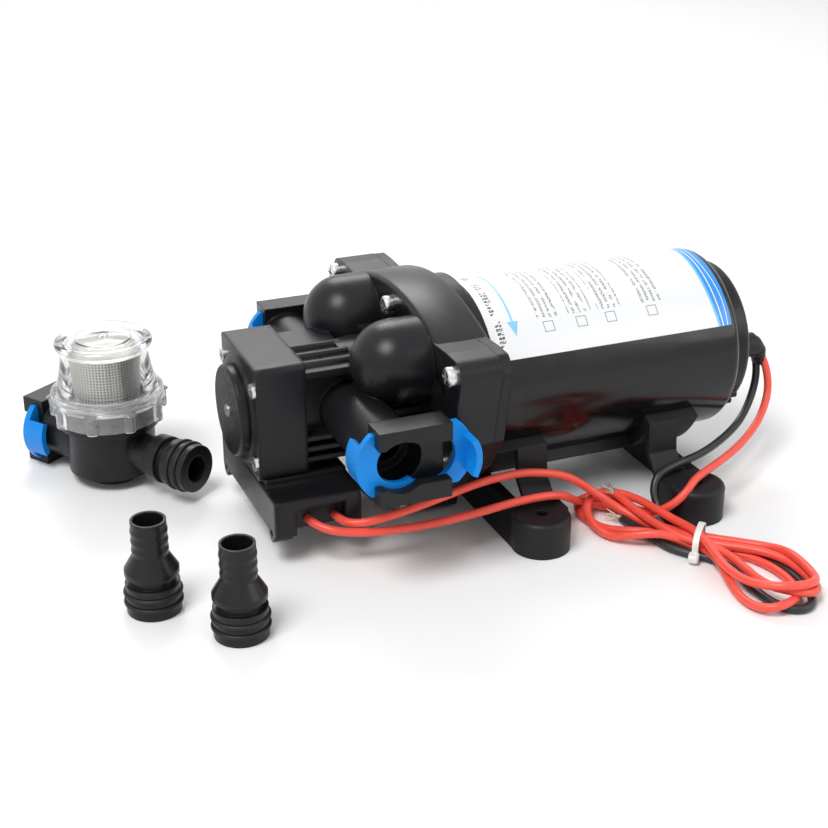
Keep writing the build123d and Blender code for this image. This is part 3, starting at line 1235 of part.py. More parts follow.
def bare_strands():
    return [strands(*RED_STRANDS), strands(*BLACK_STRANDS)]


NODES = {
    "base_bracket": base_bracket,
    "base_screws": base_screws,
    "motor_can": motor_can,
    "front_bell": front_bell,
    "rear_cap": rear_cap,
    "motor_label": motor_label,
    "grommet": grommet,
    "magnets": magnets,
    "motor_bearings": motor_bearings,
    "brush_holder": brush_holder,
    "brushes": brushes,
    "brush_springs": brush_springs,
    "motor_shaft": motor_shaft,
    "armature_core": armature_core,
    "armature_windings": armature_windings,
    "commutator": commutator,
    "wobble_hub": wobble_hub,
    "wobble_bearing": wobble_bearing,
    "wobble_plate": wobble_plate,
    "diaphragm_cups": diaphragm_cups,
    "pistons": pistons,
    "piston_screws": piston_screws,
    "upper_housing": upper_housing,
    "valve_plate": valve_plate,
    "inlet_valves": inlet_valves,
    "outlet_valve": outlet_valve,
    "diaphragm": diaphragm,
    "lower_housing": lower_housing,
    "head_screws": head_screws,
    "near_port_clip": near_port_clip,
    "far_port_clip": far_port_clip,
    "switch_body": switch_body,
    "switch_cap": switch_cap,
    "switch_adjuster": switch_adjuster,
    "switch_spring": switch_spring,
    "switch_plunger": switch_plunger,
    "switch_diaphragm": switch_diaphragm,
    "microswitch": microswitch,
    "switch_screws": switch_screws,
    "switch_box": switch_box,
    "left_hose_tail": lambda: placed_tail(hose_tail(), TAIL_LEFT_X, TAIL_LEFT_Y),
    "left_tail_rings": lambda: [placed_tail(ring, TAIL_LEFT_X, TAIL_LEFT_Y) for ring in tail_rings()],
    "right_hose_tail": lambda: placed_tail(hose_tail(), TAIL_RIGHT_X, TAIL_RIGHT_Y),
    "right_tail_rings": lambda: [placed_tail(ring, TAIL_RIGHT_X, TAIL_RIGHT_Y) for ring in tail_rings()],
    "strainer_body": strainer_body,
    "strainer_rings": strainer_rings,
    "strainer_clip": strainer_clip,
    "strainer_screen": strainer_screen,
    "strainer_bowl": strainer_bowl,
    "strainer_ring": strainer_ring,
    "switch_lead_upper": switch_lead_upper,
    "switch_lead_lower": switch_lead_lower,
    "motor_lead_red": motor_lead_red,
    "motor_lead_black": motor_lead_black,
    "lead_hank": lead_hank,
    "cable_tie": cable_tie,
    "bare_strands": bare_strands,
}

os.makedirs("parts", exist_ok=True)
for name, build in NODES.items():
    shape = build()
    if isinstance(shape, list):
        shape = Compound(children=shape)
    export_step(shape, f"parts/{name}.step")
    print(name, len(shape.solids()), "solids", round(shape.volume))
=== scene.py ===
import math

import bpy
import numpy as np
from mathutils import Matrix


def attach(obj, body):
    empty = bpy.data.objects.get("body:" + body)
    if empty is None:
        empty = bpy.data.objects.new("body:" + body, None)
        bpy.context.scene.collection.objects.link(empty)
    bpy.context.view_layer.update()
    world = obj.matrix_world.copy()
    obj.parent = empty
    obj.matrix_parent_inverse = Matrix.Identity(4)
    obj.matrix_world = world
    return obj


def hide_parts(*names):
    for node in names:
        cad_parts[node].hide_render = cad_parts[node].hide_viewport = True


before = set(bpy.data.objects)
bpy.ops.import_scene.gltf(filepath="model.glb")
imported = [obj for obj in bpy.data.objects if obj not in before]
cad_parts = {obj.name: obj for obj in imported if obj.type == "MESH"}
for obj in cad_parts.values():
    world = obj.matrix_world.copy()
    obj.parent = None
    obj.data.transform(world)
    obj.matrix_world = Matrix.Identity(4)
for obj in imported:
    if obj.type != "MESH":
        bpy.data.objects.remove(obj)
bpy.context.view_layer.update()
print("frame loaded:", len(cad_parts), "nodes")

axisHeight = 0.0568          # motor axis above the floor

cameraSet = {"place": (-0.3063, -0.5721, 0.324), "turn": 22.46, "tip": 24.61, "lens": 67.58,
             "sensor": 36, "reach": 20}


def setCamera(p):
    cam = bpy.data.cameras.new("productCamera")
    cam.lens = p["lens"]
    cam.sensor_width = p["sensor"]
    cam.clip_end = p["reach"]
    holder = bpy.data.objects.new("productCamera", cam)
    holder.location = p["place"]
    holder.rotation_euler = (math.radians(90 - p["tip"]), 0, -math.radians(p["turn"]))
    bpy.context.collection.objects.link(holder)
    bpy.context.scene.camera = holder


setCamera(cameraSet)
print("camera set")


class Wire:
    # One output of a node: + - * / > < make Math nodes, and apply makes any other Math node
    def __init__(self, paint, socket):
        self.paint = paint
        self.socket = socket

    def apply(self, how, other=0.0):
        return self.paint.node("ShaderNodeMath", {0: self, 1: other}, operation=how)

    def __add__(self, other):
        return self.apply("ADD", other)

    def __sub__(self, other):
        return self.apply("SUBTRACT", other)

    def __rsub__(self, other):
        return self.paint.node("ShaderNodeMath", {0: other, 1: self}, operation="SUBTRACT")

    def __mul__(self, other):
        return self.apply("MULTIPLY", other)

    def __truediv__(self, other):
        return self.apply("DIVIDE", other)

    __radd__ = __add__
    __rmul__ = __mul__

    def __gt__(self, other):
        return self.apply("GREATER_THAN", other)

    def __lt__(self, other):
        return self.apply("LESS_THAN", other)

    def between(self, low, high):
        return (self > low) * (self < high)


class Paint:
    # A material with one Principled shader; constants go straight on its sockets
    def __init__(self, name, colour, **constants):
        self.material = bpy.data.materials.new(name)
        self.material.use_nodes = True
        self.tree = self.material.node_tree
        self.shader = self.tree.nodes["Principled BSDF"]
        self.shader.inputs["Base Color"].default_value = (*colour, 1)
        for key, value in constants.items():
            self.shader.inputs[key.replace("_", " ")].default_value = value

    def node(self, kind, inputs=None, out=0, **settings):
        made = self.tree.nodes.new(kind)
        for key, value in settings.items():
            setattr(made, key, value)
        for key, value in (inputs or {}).items():
            self.join(value, made.inputs[key])
        return Wire(self, made.outputs[out])

    def join(self, value, socket):
        if isinstance(value, Wire):
            self.tree.links.new(value.socket, socket)
        else:
            socket.default_value = value

    def drive(self, name, value):
        self.join(value, self.shader.inputs[name])

    def place(self, shift=(0, 0, 0), scale=(1, 1, 1)):
        spot = self.node("ShaderNodeTexCoord", out="Object")
        return self.node("ShaderNodeMapping", {"Vector": spot, "Location": shift, "Scale": scale})

    def axes(self, shift=(0, 0, 0)):
        parts = self.tree.nodes.new("ShaderNodeSeparateXYZ")
        self.join(self.place(shift), parts.inputs[0])
        return [Wire(self, socket) for socket in parts.outputs]

    def noise(self, scale, detail=3, spot=None):
        return self.node("ShaderNodeTexNoise", out="Fac",
                         inputs={"Vector": spot or self.place(), "Scale": scale, "Detail": detail})

    def spread(self, value, low, high, first, last):
        return self.node("ShaderNodeMapRange", {"Value": value, "From Min": low, "From Max": high,
                                                "To Min": first, "To Max": last})

    def blend(self, factor, first, second):
        mixed = self.tree.nodes.new("ShaderNodeMix")
        mixed.data_type = "RGBA"
        self.join(factor, mixed.inputs[0])
        for value, socket in ((first, mixed.inputs[6]), (second, mixed.inputs[7])):
            self.join(value if isinstance(value, Wire) else (*value, 1), socket)
        return Wire(self, mixed.outputs[2])

    def relief(self, height, depth, edge=0.0):
        # Bump over softened edges: depth in metres, edge the radius of the softening
        base = {"Height": height, "Distance": depth, "Strength": 1.0}
        if edge:
            base["Normal"] = self.node("ShaderNodeBevel", {"Radius": edge}, samples=4)
        self.drive("Normal", self.node("ShaderNodeBump", base))


def colour(red, green, blue):
    # Screen values 0 to 255 to linear light
    return tuple(((v / 255 + 0.055) / 1.055) ** 2.4 if v > 10 else v / 255 / 12.92 for v in (red, green, blue))


def moulded(name, shade, rough=0.42, grain=0.00004, edge=0.0005, wear=0.25, **more):
    # Injection moulding: fine spark-eroded grain, faint flow marks, a little paler wear in patches that follow
    # the flow noise, and edges softened in the shading
    paint = Paint(name, shade, Roughness=rough, Specular_IOR_Level=0.28, **more)
    fine = paint.noise(2600, 2)
    flow = paint.noise(38, 4)
    pale = tuple(min(1.0, v * 1.35 + 0.012) for v in shade)
    paint.drive("Base Color", paint.blend(paint.spread(flow, 0.35, 0.75, 0, wear), shade, pale))
    paint.drive("Roughness", paint.spread(flow * 0.7 + fine * 0.3, 0.3, 0.7, rough - 0.07, rough + 0.09))
    paint.relief(fine + flow * 2.0, grain, edge)
    return paint.material


def machined(name, shade, rough=0.28, axis=0, scale=900, edge=0.0002):
    # Turned or drawn metal: fine lines along one direction and a little haze
    paint = Paint(name, shade, Metallic=1.0, Roughness=rough)
    stretch = [scale, scale, scale]
    stretch[axis] = scale / 30
    lines = paint.noise(1.0, 4, paint.place(scale=stretch))
    haze = paint.noise(140, 3)
    paint.drive("Roughness", paint.spread(lines * 0.5 + haze * 0.5, 0.3, 0.7, rough - 0.08, rough + 0.12))
    dull = tuple(v * 0.72 for v in shade)
    paint.drive("Base Color", paint.blend(paint.spread(haze, 0.4, 0.8, 0, 0.35), shade, dull))
    paint.relief(lines, 0.00002, edge)
    return paint.material


def dress(material, *nodes):
    for name in nodes:
        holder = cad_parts[name]
        holder.data.materials.clear()
        holder.data.materials.append(material)


def enamel():
    # Baked gloss enamel on drawn steel: slight orange peel under a clear coat
    deep, pale = colour(12, 12, 13), colour(30, 30, 33)
    paint = Paint("glossEnamel", deep, Roughness=0.2, Specular_IOR_Level=0.34, Coat_Weight=0.12,
                  Coat_Roughness=0.05)
    peel = paint.noise(420, 2)
    dust = paint.noise(60, 5)
    paint.drive("Roughness", paint.spread(dust, 0.35, 0.7, 0.14, 0.26))
    paint.drive("Base Color", paint.blend(paint.spread(dust, 0.55, 0.8, 0, 0.25), deep, pale))
    paint.relief(peel, 0.00001, 0.0004)
    return paint.material


labelSet = {"radius": 40.55, "ground": (230, 231, 233),
            "boxes": (-20.2, -4.7, 9.4, 29.6), "boxArc": 32.6, "boxHalf": 2.4, "boxLine": 0.3,
            "block": (5.0, 6.2), "blockTop": -30, "blockGap": 4, "rowPitch": 2.8, "rowHalf": 0.22,
            "arrowX": -36.0, "arrowHalf": 0.45, "arrowSpan": (-12.0, 29.0), "headEnd": 35.0, "headWidth": 0.36,
            "titleX": -42.9, "titleHalf": 1.5, "titleSpan": (-20, 41), "strokePitch": 1.9, "strokeShare": 0.66,
            "rear": 66.5, "bandTop": 18, "bandStretch": 26, "bandSwell": 4.6, "bandLeast": 3.6, "rimWidth": 1.1}


def vinylLabel(p):
    # Print on the wrap-round label, in millimetres: along the motor, and along the arc from the top
    paint = Paint("vinylLabel", colour(*p["ground"]), Roughness=0.34, Coat_Weight=0.25, Coat_Roughness=0.2)
    x, y, z = paint.axes(shift=(0, 0, -axisHeight))
    along = x * 1000
    arc = (y * -1).apply("ARCTAN2", z) * p["radius"]
    flat = paint.node("ShaderNodeCombineXYZ", {0: along, 1: arc})
    # Rows of small grey marks above each check box, broken by two noises into word and letter lengths
    groups = sum(along.between(spot - p["block"][0], spot + p["block"][1]) for spot in p["boxes"])
    boxes = 0
    for spot in p["boxes"]:
        far = (along - spot).apply("ABSOLUTE").apply("MAXIMUM", (arc - p["boxArc"]).apply("ABSOLUTE"))
        boxes = boxes + far.between(p["boxHalf"] - p["boxLine"], p["boxHalf"])
    row = ((along / p["rowPitch"]).apply("FRACT") - 0.5).apply("ABSOLUTE") < p["rowHalf"]
    words = paint.noise(0.33, 1.0, flat) > 0.42
    letters = paint.noise(2.1, 1.0, flat) > 0.5
    marks = groups * row * words * letters * arc.between(p["blockTop"], p["boxArc"] - p["blockGap"])
    # Flow arrow: a thin shaft with a head that narrows towards its point
    aside = (along - p["arrowX"]).apply("ABSOLUTE")
    shaft = (aside < p["arrowHalf"]) * arc.between(*p["arrowSpan"])
    head = aside - (p["headEnd"] - arc) * p["headWidth"] < 0
    head = head * arc.between(p["arrowSpan"][1] - 1, p["headEnd"])
    arrow = shaft.apply("MAXIMUM", head)
    # Title row: one broken line of taller dark marks beside the pump head
    stroke = (arc / p["strokePitch"]).apply("FRACT") < p["strokeShare"]
    breaks = paint.noise(0.13, 0.0, flat) > 0.4
    thick = paint.noise(1.3, 0.0, flat) > 0.4
    line = (along - p["titleX"]).apply("ABSOLUTE") < p["titleHalf"]
    title = line * stroke * breaks * thick * arc.between(*p["titleSpan"])
    # Crescent band at the rear edge: its width swells along the arc, with pale hairlines through it
    swell = ((arc + p["bandTop"]) / p["bandStretch"]).apply("SINE") * p["bandSwell"] + p["bandLeast"]
    inside = p["rear"] - along
    band = inside < swell
    rim = inside > swell - p["rimWidth"]
    hairOne = (inside - swell * 0.62).apply("ABSOLUTE") < 0.24
    hairTwo = (inside - swell * 0.3 - (arc / 7).apply("SINE") * 0.5).apply("ABSOLUTE") < 0.18
    hair = hairOne.apply("MAXIMUM", hairTwo)
    shade = colour(*p["ground"])
    for mask, ink in ((marks * 0.95, (66, 68, 73)), (boxes * 0.9, (60, 62, 66)),
                      (arrow * 0.95, (120, 195, 235)), (title * 0.9, (45, 46, 50)), (band, (42, 140, 222)),
                      (band * rim, (112, 192, 240)), (band * hair, (228, 240, 250))):
        shade = paint.blend(mask, shade, colour(*ink))
    paint.drive("Base Color", shade)
    paint.relief(paint.noise(300, 2), 0.00002)
    return paint.material


meshSet = {"middle": (-0.1889, 0.0739), "radius": 15.0, "pitch": 1.35, "wireHalf": 0.2}


def steelMesh(p):
    # Woven wire screen: two rows of wires, round the drum and up it, with the openings between them painted
    # dark as painted shade and half see-through
    paint = Paint("steelMesh", (0.7, 0.68, 0.63), Metallic=0.85, Roughness=0.4)
    x, y, z = paint.axes(shift=(-p["middle"][0], -p["middle"][1], 0))

    def wires(way):
        return ((way / p["pitch"]).apply("FRACT") - 0.5).apply("ABSOLUTE") < p["wireHalf"]

    across, up = wires(x.apply("ARCTAN2", y) * p["radius"]), wires(z * 1000)
    web = across.apply("MAXIMUM", up)
    # Openings between the wires get a dark colour: painted shade where the screen is seen through
    paint.drive("Base Color", paint.blend(web, (0.1, 0.1, 0.095), (0.72, 0.7, 0.65)))
    paint.drive("Alpha", web * 0.55 + 0.45)
    paint.relief(across + up, 0.0002)
    return paint.material


def clearMoulding(name, shade, index, passing, rough, scale, depth, waves=None):
    # Clear plastic: faint haze in the roughness, and slow waves in the surface
    paint = Paint(name, shade, Roughness=rough[0], IOR=index, Transmission_Weight=passing)
    haze = paint.noise(scale, 4)
    paint.drive("Roughness", paint.spread(haze, 0.4, 0.75, rough[1], rough[2]))
    paint.relief(paint.noise(waves, 2) if waves else haze, depth)
    return paint.material


def rubber(name, shade, rough=0.62):
    paint = Paint(name, shade, Roughness=rough, Specular_IOR_Level=0.35)
    dust = paint.noise(110, 5)
    dusty = tuple(v * 2.2 + 0.01 for v in shade)
    paint.drive("Base Color", paint.blend(paint.spread(dust, 0.5, 0.85, 0, 0.4), shade, dusty))
    paint.relief(paint.noise(1500, 3), 0.00004, 0.0003)
    return paint.material


def windings():
    # Enamelled copper wire laid in a close pack, each turn with a painted highlight on its crest and painted
    # shade in the groove beside it
    paint = Paint("enamelledWire", colour(170, 86, 40), Roughness=0.3, Metallic=0.6, Coat_Weight=0.5)
    x, y, z = paint.axes(shift=(0, 0, -axisHeight))
    ring = (y * y + z * z).apply("SQRT") * 1000
    strand = (ring / 0.7 * math.tau).apply("SINE")
    # Painted shade in the grooves between turns and painted highlight on their crests, following the same wave
    # as the bump
    dark, crestHighlight = colour(96, 44, 22), colour(196, 108, 56)
    paint.drive("Base Color", paint.blend(paint.spread(strand, -1, 1, 0, 1), dark, crestHighlight))
    paint.relief(strand, 0.0001)
    return paint.material


def laminated():
    # Stacked laminations of the armature core: thin dark lines across the motor axis
    paint = Paint("laminatedSteel", (0.3, 0.3, 0.31), Metallic=0.9, Roughness=0.42)
    line = (paint.axes()[0] * 2000).apply("FRACT") < 0.2
    paint.drive("Base Color", paint.blend(line, (0.32, 0.32, 0.33), (0.1, 0.1, 0.1)))
    paint.relief(line, -0.00006)
    return paint.material


def dressAll():
    black = moulded("satinBlack", colour(21, 21, 24), 0.3, edge=0.0011)
    dress(moulded("roundedBlack", colour(21, 21, 24), 0.3, edge=0.0024), "switch_body", "switch_box")
    dress(black, "upper_housing", "strainer_body", "left_hose_tail", "right_hose_tail")
    dress(moulded("housingBlack", colour(19, 19, 21), 0.32, edge=0.0011), "lower_housing")
    dress(moulded("bracketBlack", colour(20, 20, 23), 0.46, grain=0.00006, edge=0.0009, wear=0.3),
          "base_bracket")
    dress(moulded("capBlack", colour(17, 17, 19), 0.26, edge=0.0008), "rear_cap", "switch_cap", "brush_holder")
    dress(enamel(), "motor_can", "front_bell")
    dress(vinylLabel(labelSet), "motor_label")
    blue = moulded("blueClip", colour(8, 132, 220), 0.3, grain=0.00002, edge=0.0004, wear=0.12,
                   Subsurface_Weight=0.05)
    dress(blue, "near_port_clip", "far_port_clip", "strainer_clip")
    dress(machined("brightScrew", (0.72, 0.72, 0.7), 0.24), "base_screws", "head_screws", "switch_screws",
          "switch_adjuster", "piston_screws")
    dress(machined("groundSteel", (0.66, 0.66, 0.66), 0.2), "motor_shaft", "motor_bearings", "wobble_bearing",
          "wobble_hub", "switch_spring", "brush_springs")
    dress(machined("copperBars", (0.78, 0.42, 0.26), 0.26), "commutator")
    dress(laminated(), "armature_core")
    dress(windings(), "armature_windings")
    dress(moulded("ferrite", colour(64, 64, 68), 0.6, grain=0.0001), "magnets")
    dress(moulded("carbonBrush", colour(48, 46, 46), 0.7, grain=0.0001), "brushes")
    dress(moulded("whiteNylon", colour(226, 226, 220), 0.4, wear=0.1, Subsurface_Weight=0.1),
          "valve_plate", "pistons", "wobble_plate", "switch_plunger", "microswitch")
    dress(rubber("blackRubber", colour(18, 18, 19), 0.5), "grommet", "inlet_valves", "outlet_valve",
          "diaphragm", "diaphragm_cups", "switch_diaphragm", "left_tail_rings", "right_tail_rings",
          "strainer_rings")
    dress(clearMoulding("clearPlastic", (0.94, 0.955, 0.96), 1.46, 0.94, (0.07, 0.05, 0.16), 90, 0.00008),
          "strainer_bowl", "strainer_ring")
    dress(steelMesh(meshSet), "strainer_screen")


dressAll()
print("finishes made")


leadSet = {"diameter": 0.0036,
           "redOne": [(-119.2, -32.8, 17.4), (-118.6, -40.5, 17.2), (-111.5, -46.2, 17.8), (-96, -48.4, 20.6),
                      (-79, -48.6, 24), (-60, -48.2, 27.8), (-41, -47.6, 28.6), (-26, -47.6, 25.2),
                      (-18.3, -47.2, 22), (-12.1, -47, 17.8), (-6.3, -47.7, 13.2), (-0.8, -50.2, 8.9),
                      (4, -54.5, 5.6), (7.8, -60.4, 3.6), (10.4, -67.3, 2.9), (12.8, -74.4, 3.7),
                      (15.6, -81.2, 5.1), (18.9, -87.8, 5.5), (23.2, -93.8, 5.1), (28.4, -99, 5.1),
                      (33.9, -103.9, 5.4), (39.1, -108.9, 5.5), (43.3, -114.8, 5.4), (45.9, -121.4, 5.1),
                      (46.8, -128.5, 4.6), (46.7, -135.6, 4.1), (44.8, -142.2, 4.5), (39.7, -146.3, 5.9),
                      (33.2, -145.8, 7.4), (28.4, -141, 7.2), (26.5, -134.1, 5.9), (26.6, -126.8, 4.8),
                      (27.2, -119.4, 4.3), (27.2, -111.9, 4.5), (25.7, -104.7, 5.1), (22.4, -98, 6),
                      (17.6, -92.2, 5.9), (13.6, -85.6, 6.2), (11.3, -78.3, 6.7), (9.8, -70.6, 6.7),
                      (8.6, -63, 7.1), (7.5, -55.3, 7.9), (6.1, -47.8, 9)],
           "redTwo": [(-131.2, -32.8, 18), (-129.4, -39.6, 17.2), (-121.5, -45.2, 15.4), (-106, -47.4, 13.2),
                      (-88, -49.5, 13.2), (-68, -52.5, 15.4), (-49, -55.5, 19.3), (-35, -57, 20.4),
                      (-27, -55.8, 18.8), (-21.1, -52.4, 15.3), (-16.2, -48.1, 11.2), (-11, -44.2, 7.2),
                      (-4.9, -42.5, 4), (1.4, -44.1, 2.2), (6.6, -48.9, 1.8), (10.2, -55.1, 1.8),
                      (12.8, -61.9, 1.8), (14.9, -68.9, 2.3), (17.1, -75.9, 3.2), (20, -82.6, 4.3),
                      (23.9, -88.7, 5.2), (28.7, -94, 5.5), (34.3, -98.5, 5.5), (39.8, -102.8, 5.3),
                      (44.3, -108, 5.8), (46.7, -114.1, 7.1), (46.9, -120.8, 8.4), (46.8, -127.6, 8.4),
                      (46.6, -134.4, 7.8), (44.6, -140.7, 8.1), (39.4, -145, 9.7), (32.6, -146.4, 10.9),
                      (26.1, -143.8, 10.5), (21.3, -138.2, 9.2), (18.8, -131, 7.7), (17.9, -123.2, 6.9),
                      (18.1, -115.2, 6.9), (18.8, -107.4, 7.7), (19.6, -99.6, 8.9), (20.1, -91.8, 9.3),
                      (19.8, -84.1, 8.5), (18.5, -76.5, 7.9), (16.8, -69.1, 8), (15.2, -61.7, 8.1),
                      (13.8, -54.4, 7.8), (11.1, -47.7, 7.6), (6.2, -42.8, 7.8), (-0.3, -42.1, 7.9),
                      (-6.1, -45.6, 7.3), (-10.1, -51, 6.1), (-11.9, -57.4, 4.7), (-11.1, -64.1, 3.1),
                      (-8.1, -70.3, 2.1), (-3.6, -75.8, 4.6), (2, -80.4, 6.6), (8.8, -83.9, 7),
                      (15.5, -87.9, 4.2), (19.9, -94, 2.5), (21, -101.5, 4.4), (20.2, -109.6, 4.2),
                      (18.5, -117.5, 2.9), (16.6, -125.5, 2), (15.5, -133.6, 1.8), (16.3, -141.5, 2.3),
                      (20.4, -147.1, 3.9), (27, -147.8, 5.1), (33.2, -144.4, 4), (38, -138.9, 2.6),
                      (40.5, -131.9, 1.9), (41.2, -124.5, 1.8), (40.4, -117, 1.8), (38, -109.9, 1.8),
                      (34.1, -103.4, 1.8), (29.3, -97.5, 1.8), (24.1, -91.9, 1.8), (18.7, -86.6, 1.8),
                      (12.7, -82.2, 3.2), (6.8, -78, 5.1), (1.1, -73.4, 4.6), (-3.8, -68.1, 3.2),
                      (-7.6, -62, 2.1), (-10, -55.3, 1.8), (-10.9, -48.3, 1.8), (-9.6, -41.5, 2.2),
                      (-5.8, -36.1, 2.5), (0.1, -34.1, 2.5), (5.8, -36.5, 2.1), (9.8, -41.8, 1.8),
                      (12.2, -48.1, 1.8), (14.1, -54.7, 2.3), (16.4, -60.8, 4.1), (19.9, -65.6, 7.3),
                      (24.4, -68.3, 11.6), (29.5, -68.3, 16), (35, -65, 19.2), (51, -56.6, 19.2),
                      (68, -46.6, 19.2), (84, -35.6, 21.4), (93.2, -28.8, 26.4), (98.2, -24.2, 33.6),
                      (98.6, -21.4, 41.6), (96.6, -19.8, 48.2), (94, -19, 52.4), (92, -19, 54.8)],
           "black": [(92, -15, 54.8), (93.8, -15, 52.4), (95.8, -15.4, 47), (96, -17, 38.4),
                     (91.4, -20.8, 29.4), (81, -28.5, 22.4), (65.5, -37.4, 19.6), (49, -46, 19.2),
                     (34, -50.4, 19.4), (24, -52, 17), (20.5, -54.6, 11.7), (20.4, -58.7, 6.2),
                     (20.8, -64.6, 2.7), (20.8, -71.5, 1.8), (21.5, -78.4, 1.8), (23.8, -84.9, 1.8),
                     (27.7, -90.5, 1.8), (32.3, -95.5, 1.8), (36.8, -100.7, 1.8), (40.7, -106.4, 1.8),
                     (43.3, -112.6, 1.8), (44.5, -119.4, 1.8), (44.7, -126.2, 1.8), (44.1, -133.1, 1.8),
                     (42.9, -139.9, 1.8), (40.2, -145.9, 1.8), (35.2, -149.5, 1.8), (29.3, -148.4, 1.8),
                     (25.5, -142.8, 1.8), (23.9, -135.2, 1.8), (23.9, -127.3, 1.8), (24.6, -119.5, 1.8),
                     (24.8, -111.7, 1.8), (23.1, -104.4, 1.8), (18.5, -98.6, 1.8), (13.6, -93.1, 1.8),
                     (9.7, -86.8, 1.8), (8.3, -79.3, 1.8), (7.1, -71.9, 1.8), (5.5, -64.8, 1.8),
                     (3.9, -57.8, 1.9)]}


def extruded(name, shade, rough):
    # Extruded insulation: smooth, a little waxy, with slow drawn ripples and faint dust
    paint = Paint(name, shade, Roughness=rough, Specular_IOR_Level=0.45)
    ripple = paint.noise(160, 3)
    fine = paint.noise(1400, 2)
    paint.drive("Base Color", paint.blend(paint.spread(ripple, 0.35, 0.75, 0, 0.5), shade,
                                          tuple(min(1, v * 1.12 + 0.02) for v in shade)))
    paint.drive("Roughness", paint.spread(fine * 0.5 + ripple * 0.5, 0.3, 0.7, rough - 0.06, rough + 0.08))
    paint.relief(fine + ripple * 2.0, 0.00003)
    return paint.material


def lead(name, points, material):
    curve = bpy.data.curves.new(name, "CURVE")
    curve.dimensions = "3D"
    curve.bevel_depth = leadSet["diameter"] / 2
    curve.bevel_resolution = 5
    curve.resolution_u = 8
    curve.use_fill_caps = True
    spline = curve.splines.new("NURBS")
    spline.points.add(len(points) - 1)
    flat = np.ones((len(points), 4))
    flat[:, :3] = np.array(points) / 1000
    spline.points.foreach_set("co", flat.ravel())
    spline.order_u = 3
    spline.use_endpoint_u = True
    holder = bpy.data.objects.new(name, curve)
    bpy.context.collection.objects.link(holder)
    curve.materials.append(material)
    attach(holder, "pump")
    return holder


def bend(start, corner, end, t):
    # Quadratic curve from start to end, drawn towards the corner
    return (1 - t) ** 2 * start + 2 * t * (1 - t) * corner + t ** 2 * end


def splineLength(points):
    # Length of the smooth quadratic line through the middles of the runs, summed over fine steps
    p = np.array(points, dtype=float) / 1000
    total = 0.0
    for i in range(1, len(p) - 1):
        start = p[0] if i == 1 else (p[i - 1] + p[i]) / 2
        end = p[-1] if i == len(p) - 2 else (p[i] + p[i + 1]) / 2
        t = np.linspace(0, 1, 25)[:, None]
        line = bend(start, p[i], end, t)
        total += float(np.linalg.norm(np.diff(line, axis=0), axis=1).sum())
    return total


def layLeads(p, redEnd, blackEnd, tie):
    red = extruded("redInsulation", colour(238, 84, 68), 0.34)
    dark = extruded("blackInsulation", colour(34, 35, 38), 0.36)
    one = lead("redLeadOne", p["redOne"], red)
    two = lead("redLeadTwo", p["redTwo"], red)
    black = lead("blackLead", p["black"], dark)
    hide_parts("switch_lead_upper", "lead_hank")
    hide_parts("switch_lead_lower", "motor_lead_red", "lead_hank")
    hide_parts("motor_lead_black", "lead_hank")
    for holder, points, end, ends in ((one, p["redOne"], "bare", redEnd), (two, p["redTwo"], "object", tie),
                                      (black, p["black"], "bare", blackEnd)):
        exitPoint = tuple(v / 1000 for v in points[0])
        splineLength(points)


def meshObject(name, points, faces, material):
    mesh = bpy.data.meshes.new(name)
    mesh.from_pydata(points, [], faces)
    mesh.materials.append(material)
    holder = bpy.data.objects.new(name, mesh)
    bpy.context.collection.objects.link(holder)
    return holder


def surface(name, grid, material, body="pump", wrapU=False, wrapV=False, smooth=True, caps=False):
    # grid is rows x columns x 3, in metres; neighbouring grid points are joined into four-sided faces
    rows, cols = grid.shape[:2]
    index = np.arange(rows * cols).reshape(rows, cols)
    down = np.roll(index, -1, axis=0) if wrapU else index[1:]
    here = index if wrapU else index[:-1]
    if wrapV:
        quads = np.stack([here, np.roll(here, -1, axis=1), np.roll(down, -1, axis=1), down], axis=-1)
    else:
        quads = np.stack([here[:, :-1], here[:, 1:], down[:, 1:], down[:, :-1]], axis=-1)
    faces = quads.reshape(-1, 4).tolist()
    if caps:
        faces += [index[0][::-1].tolist(), index[-1].tolist()]
    holder = meshObject(name, grid.reshape(-1, 3).tolist(), faces, material)
    if smooth:
        holder.data.polygons.foreach_set("use_smooth", np.ones(len(faces), dtype=bool))
    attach(holder, body)
    return holder


def lathe(name, profile, middle, material, body, steps=120, swell=None):
    # Closed outline (radius, height) carried round a vertical axis; swell adds to the radius
    outline = np.array(profile, dtype=float)
    turn = np.linspace(0, math.tau, steps, endpoint=False)
    radius = np.repeat(outline[None, :, 0], steps, axis=0)
    height = np.repeat(outline[None, :, 1], steps, axis=0)
    if swell is not None:
        radius = radius + swell(turn[:, None], height, radius)
    across, deep = radius * np.cos(turn)[:, None], radius * np.sin(turn)[:, None]
    grid = np.stack([middle[0] + across, middle[1] + deep, height], axis=-1)
    return surface(name, grid / 1000, material, body, wrapU=True, wrapV=True)


def outlineCurve(corners, steps=5, share=0.3):
    # Closed outline with each corner rounded, from and to points a share of its shorter side away
    p = np.array(corners, dtype=float)
    back, forth = np.roll(p, 1, axis=0) - p, np.roll(p, -1, axis=0) - p
    backRun, forthRun = (np.linalg.norm(side, axis=1)[:, None] for side in (back, forth))
    reach = np.minimum(backRun, forthRun) * share
    start, end = p + back / backRun * reach, p + forth / forthRun * reach
    t = np.linspace(0, 1, steps)[None, :, None]
    return bend(start[:, None], p[:, None], end[:, None], t).reshape(-1, 2)


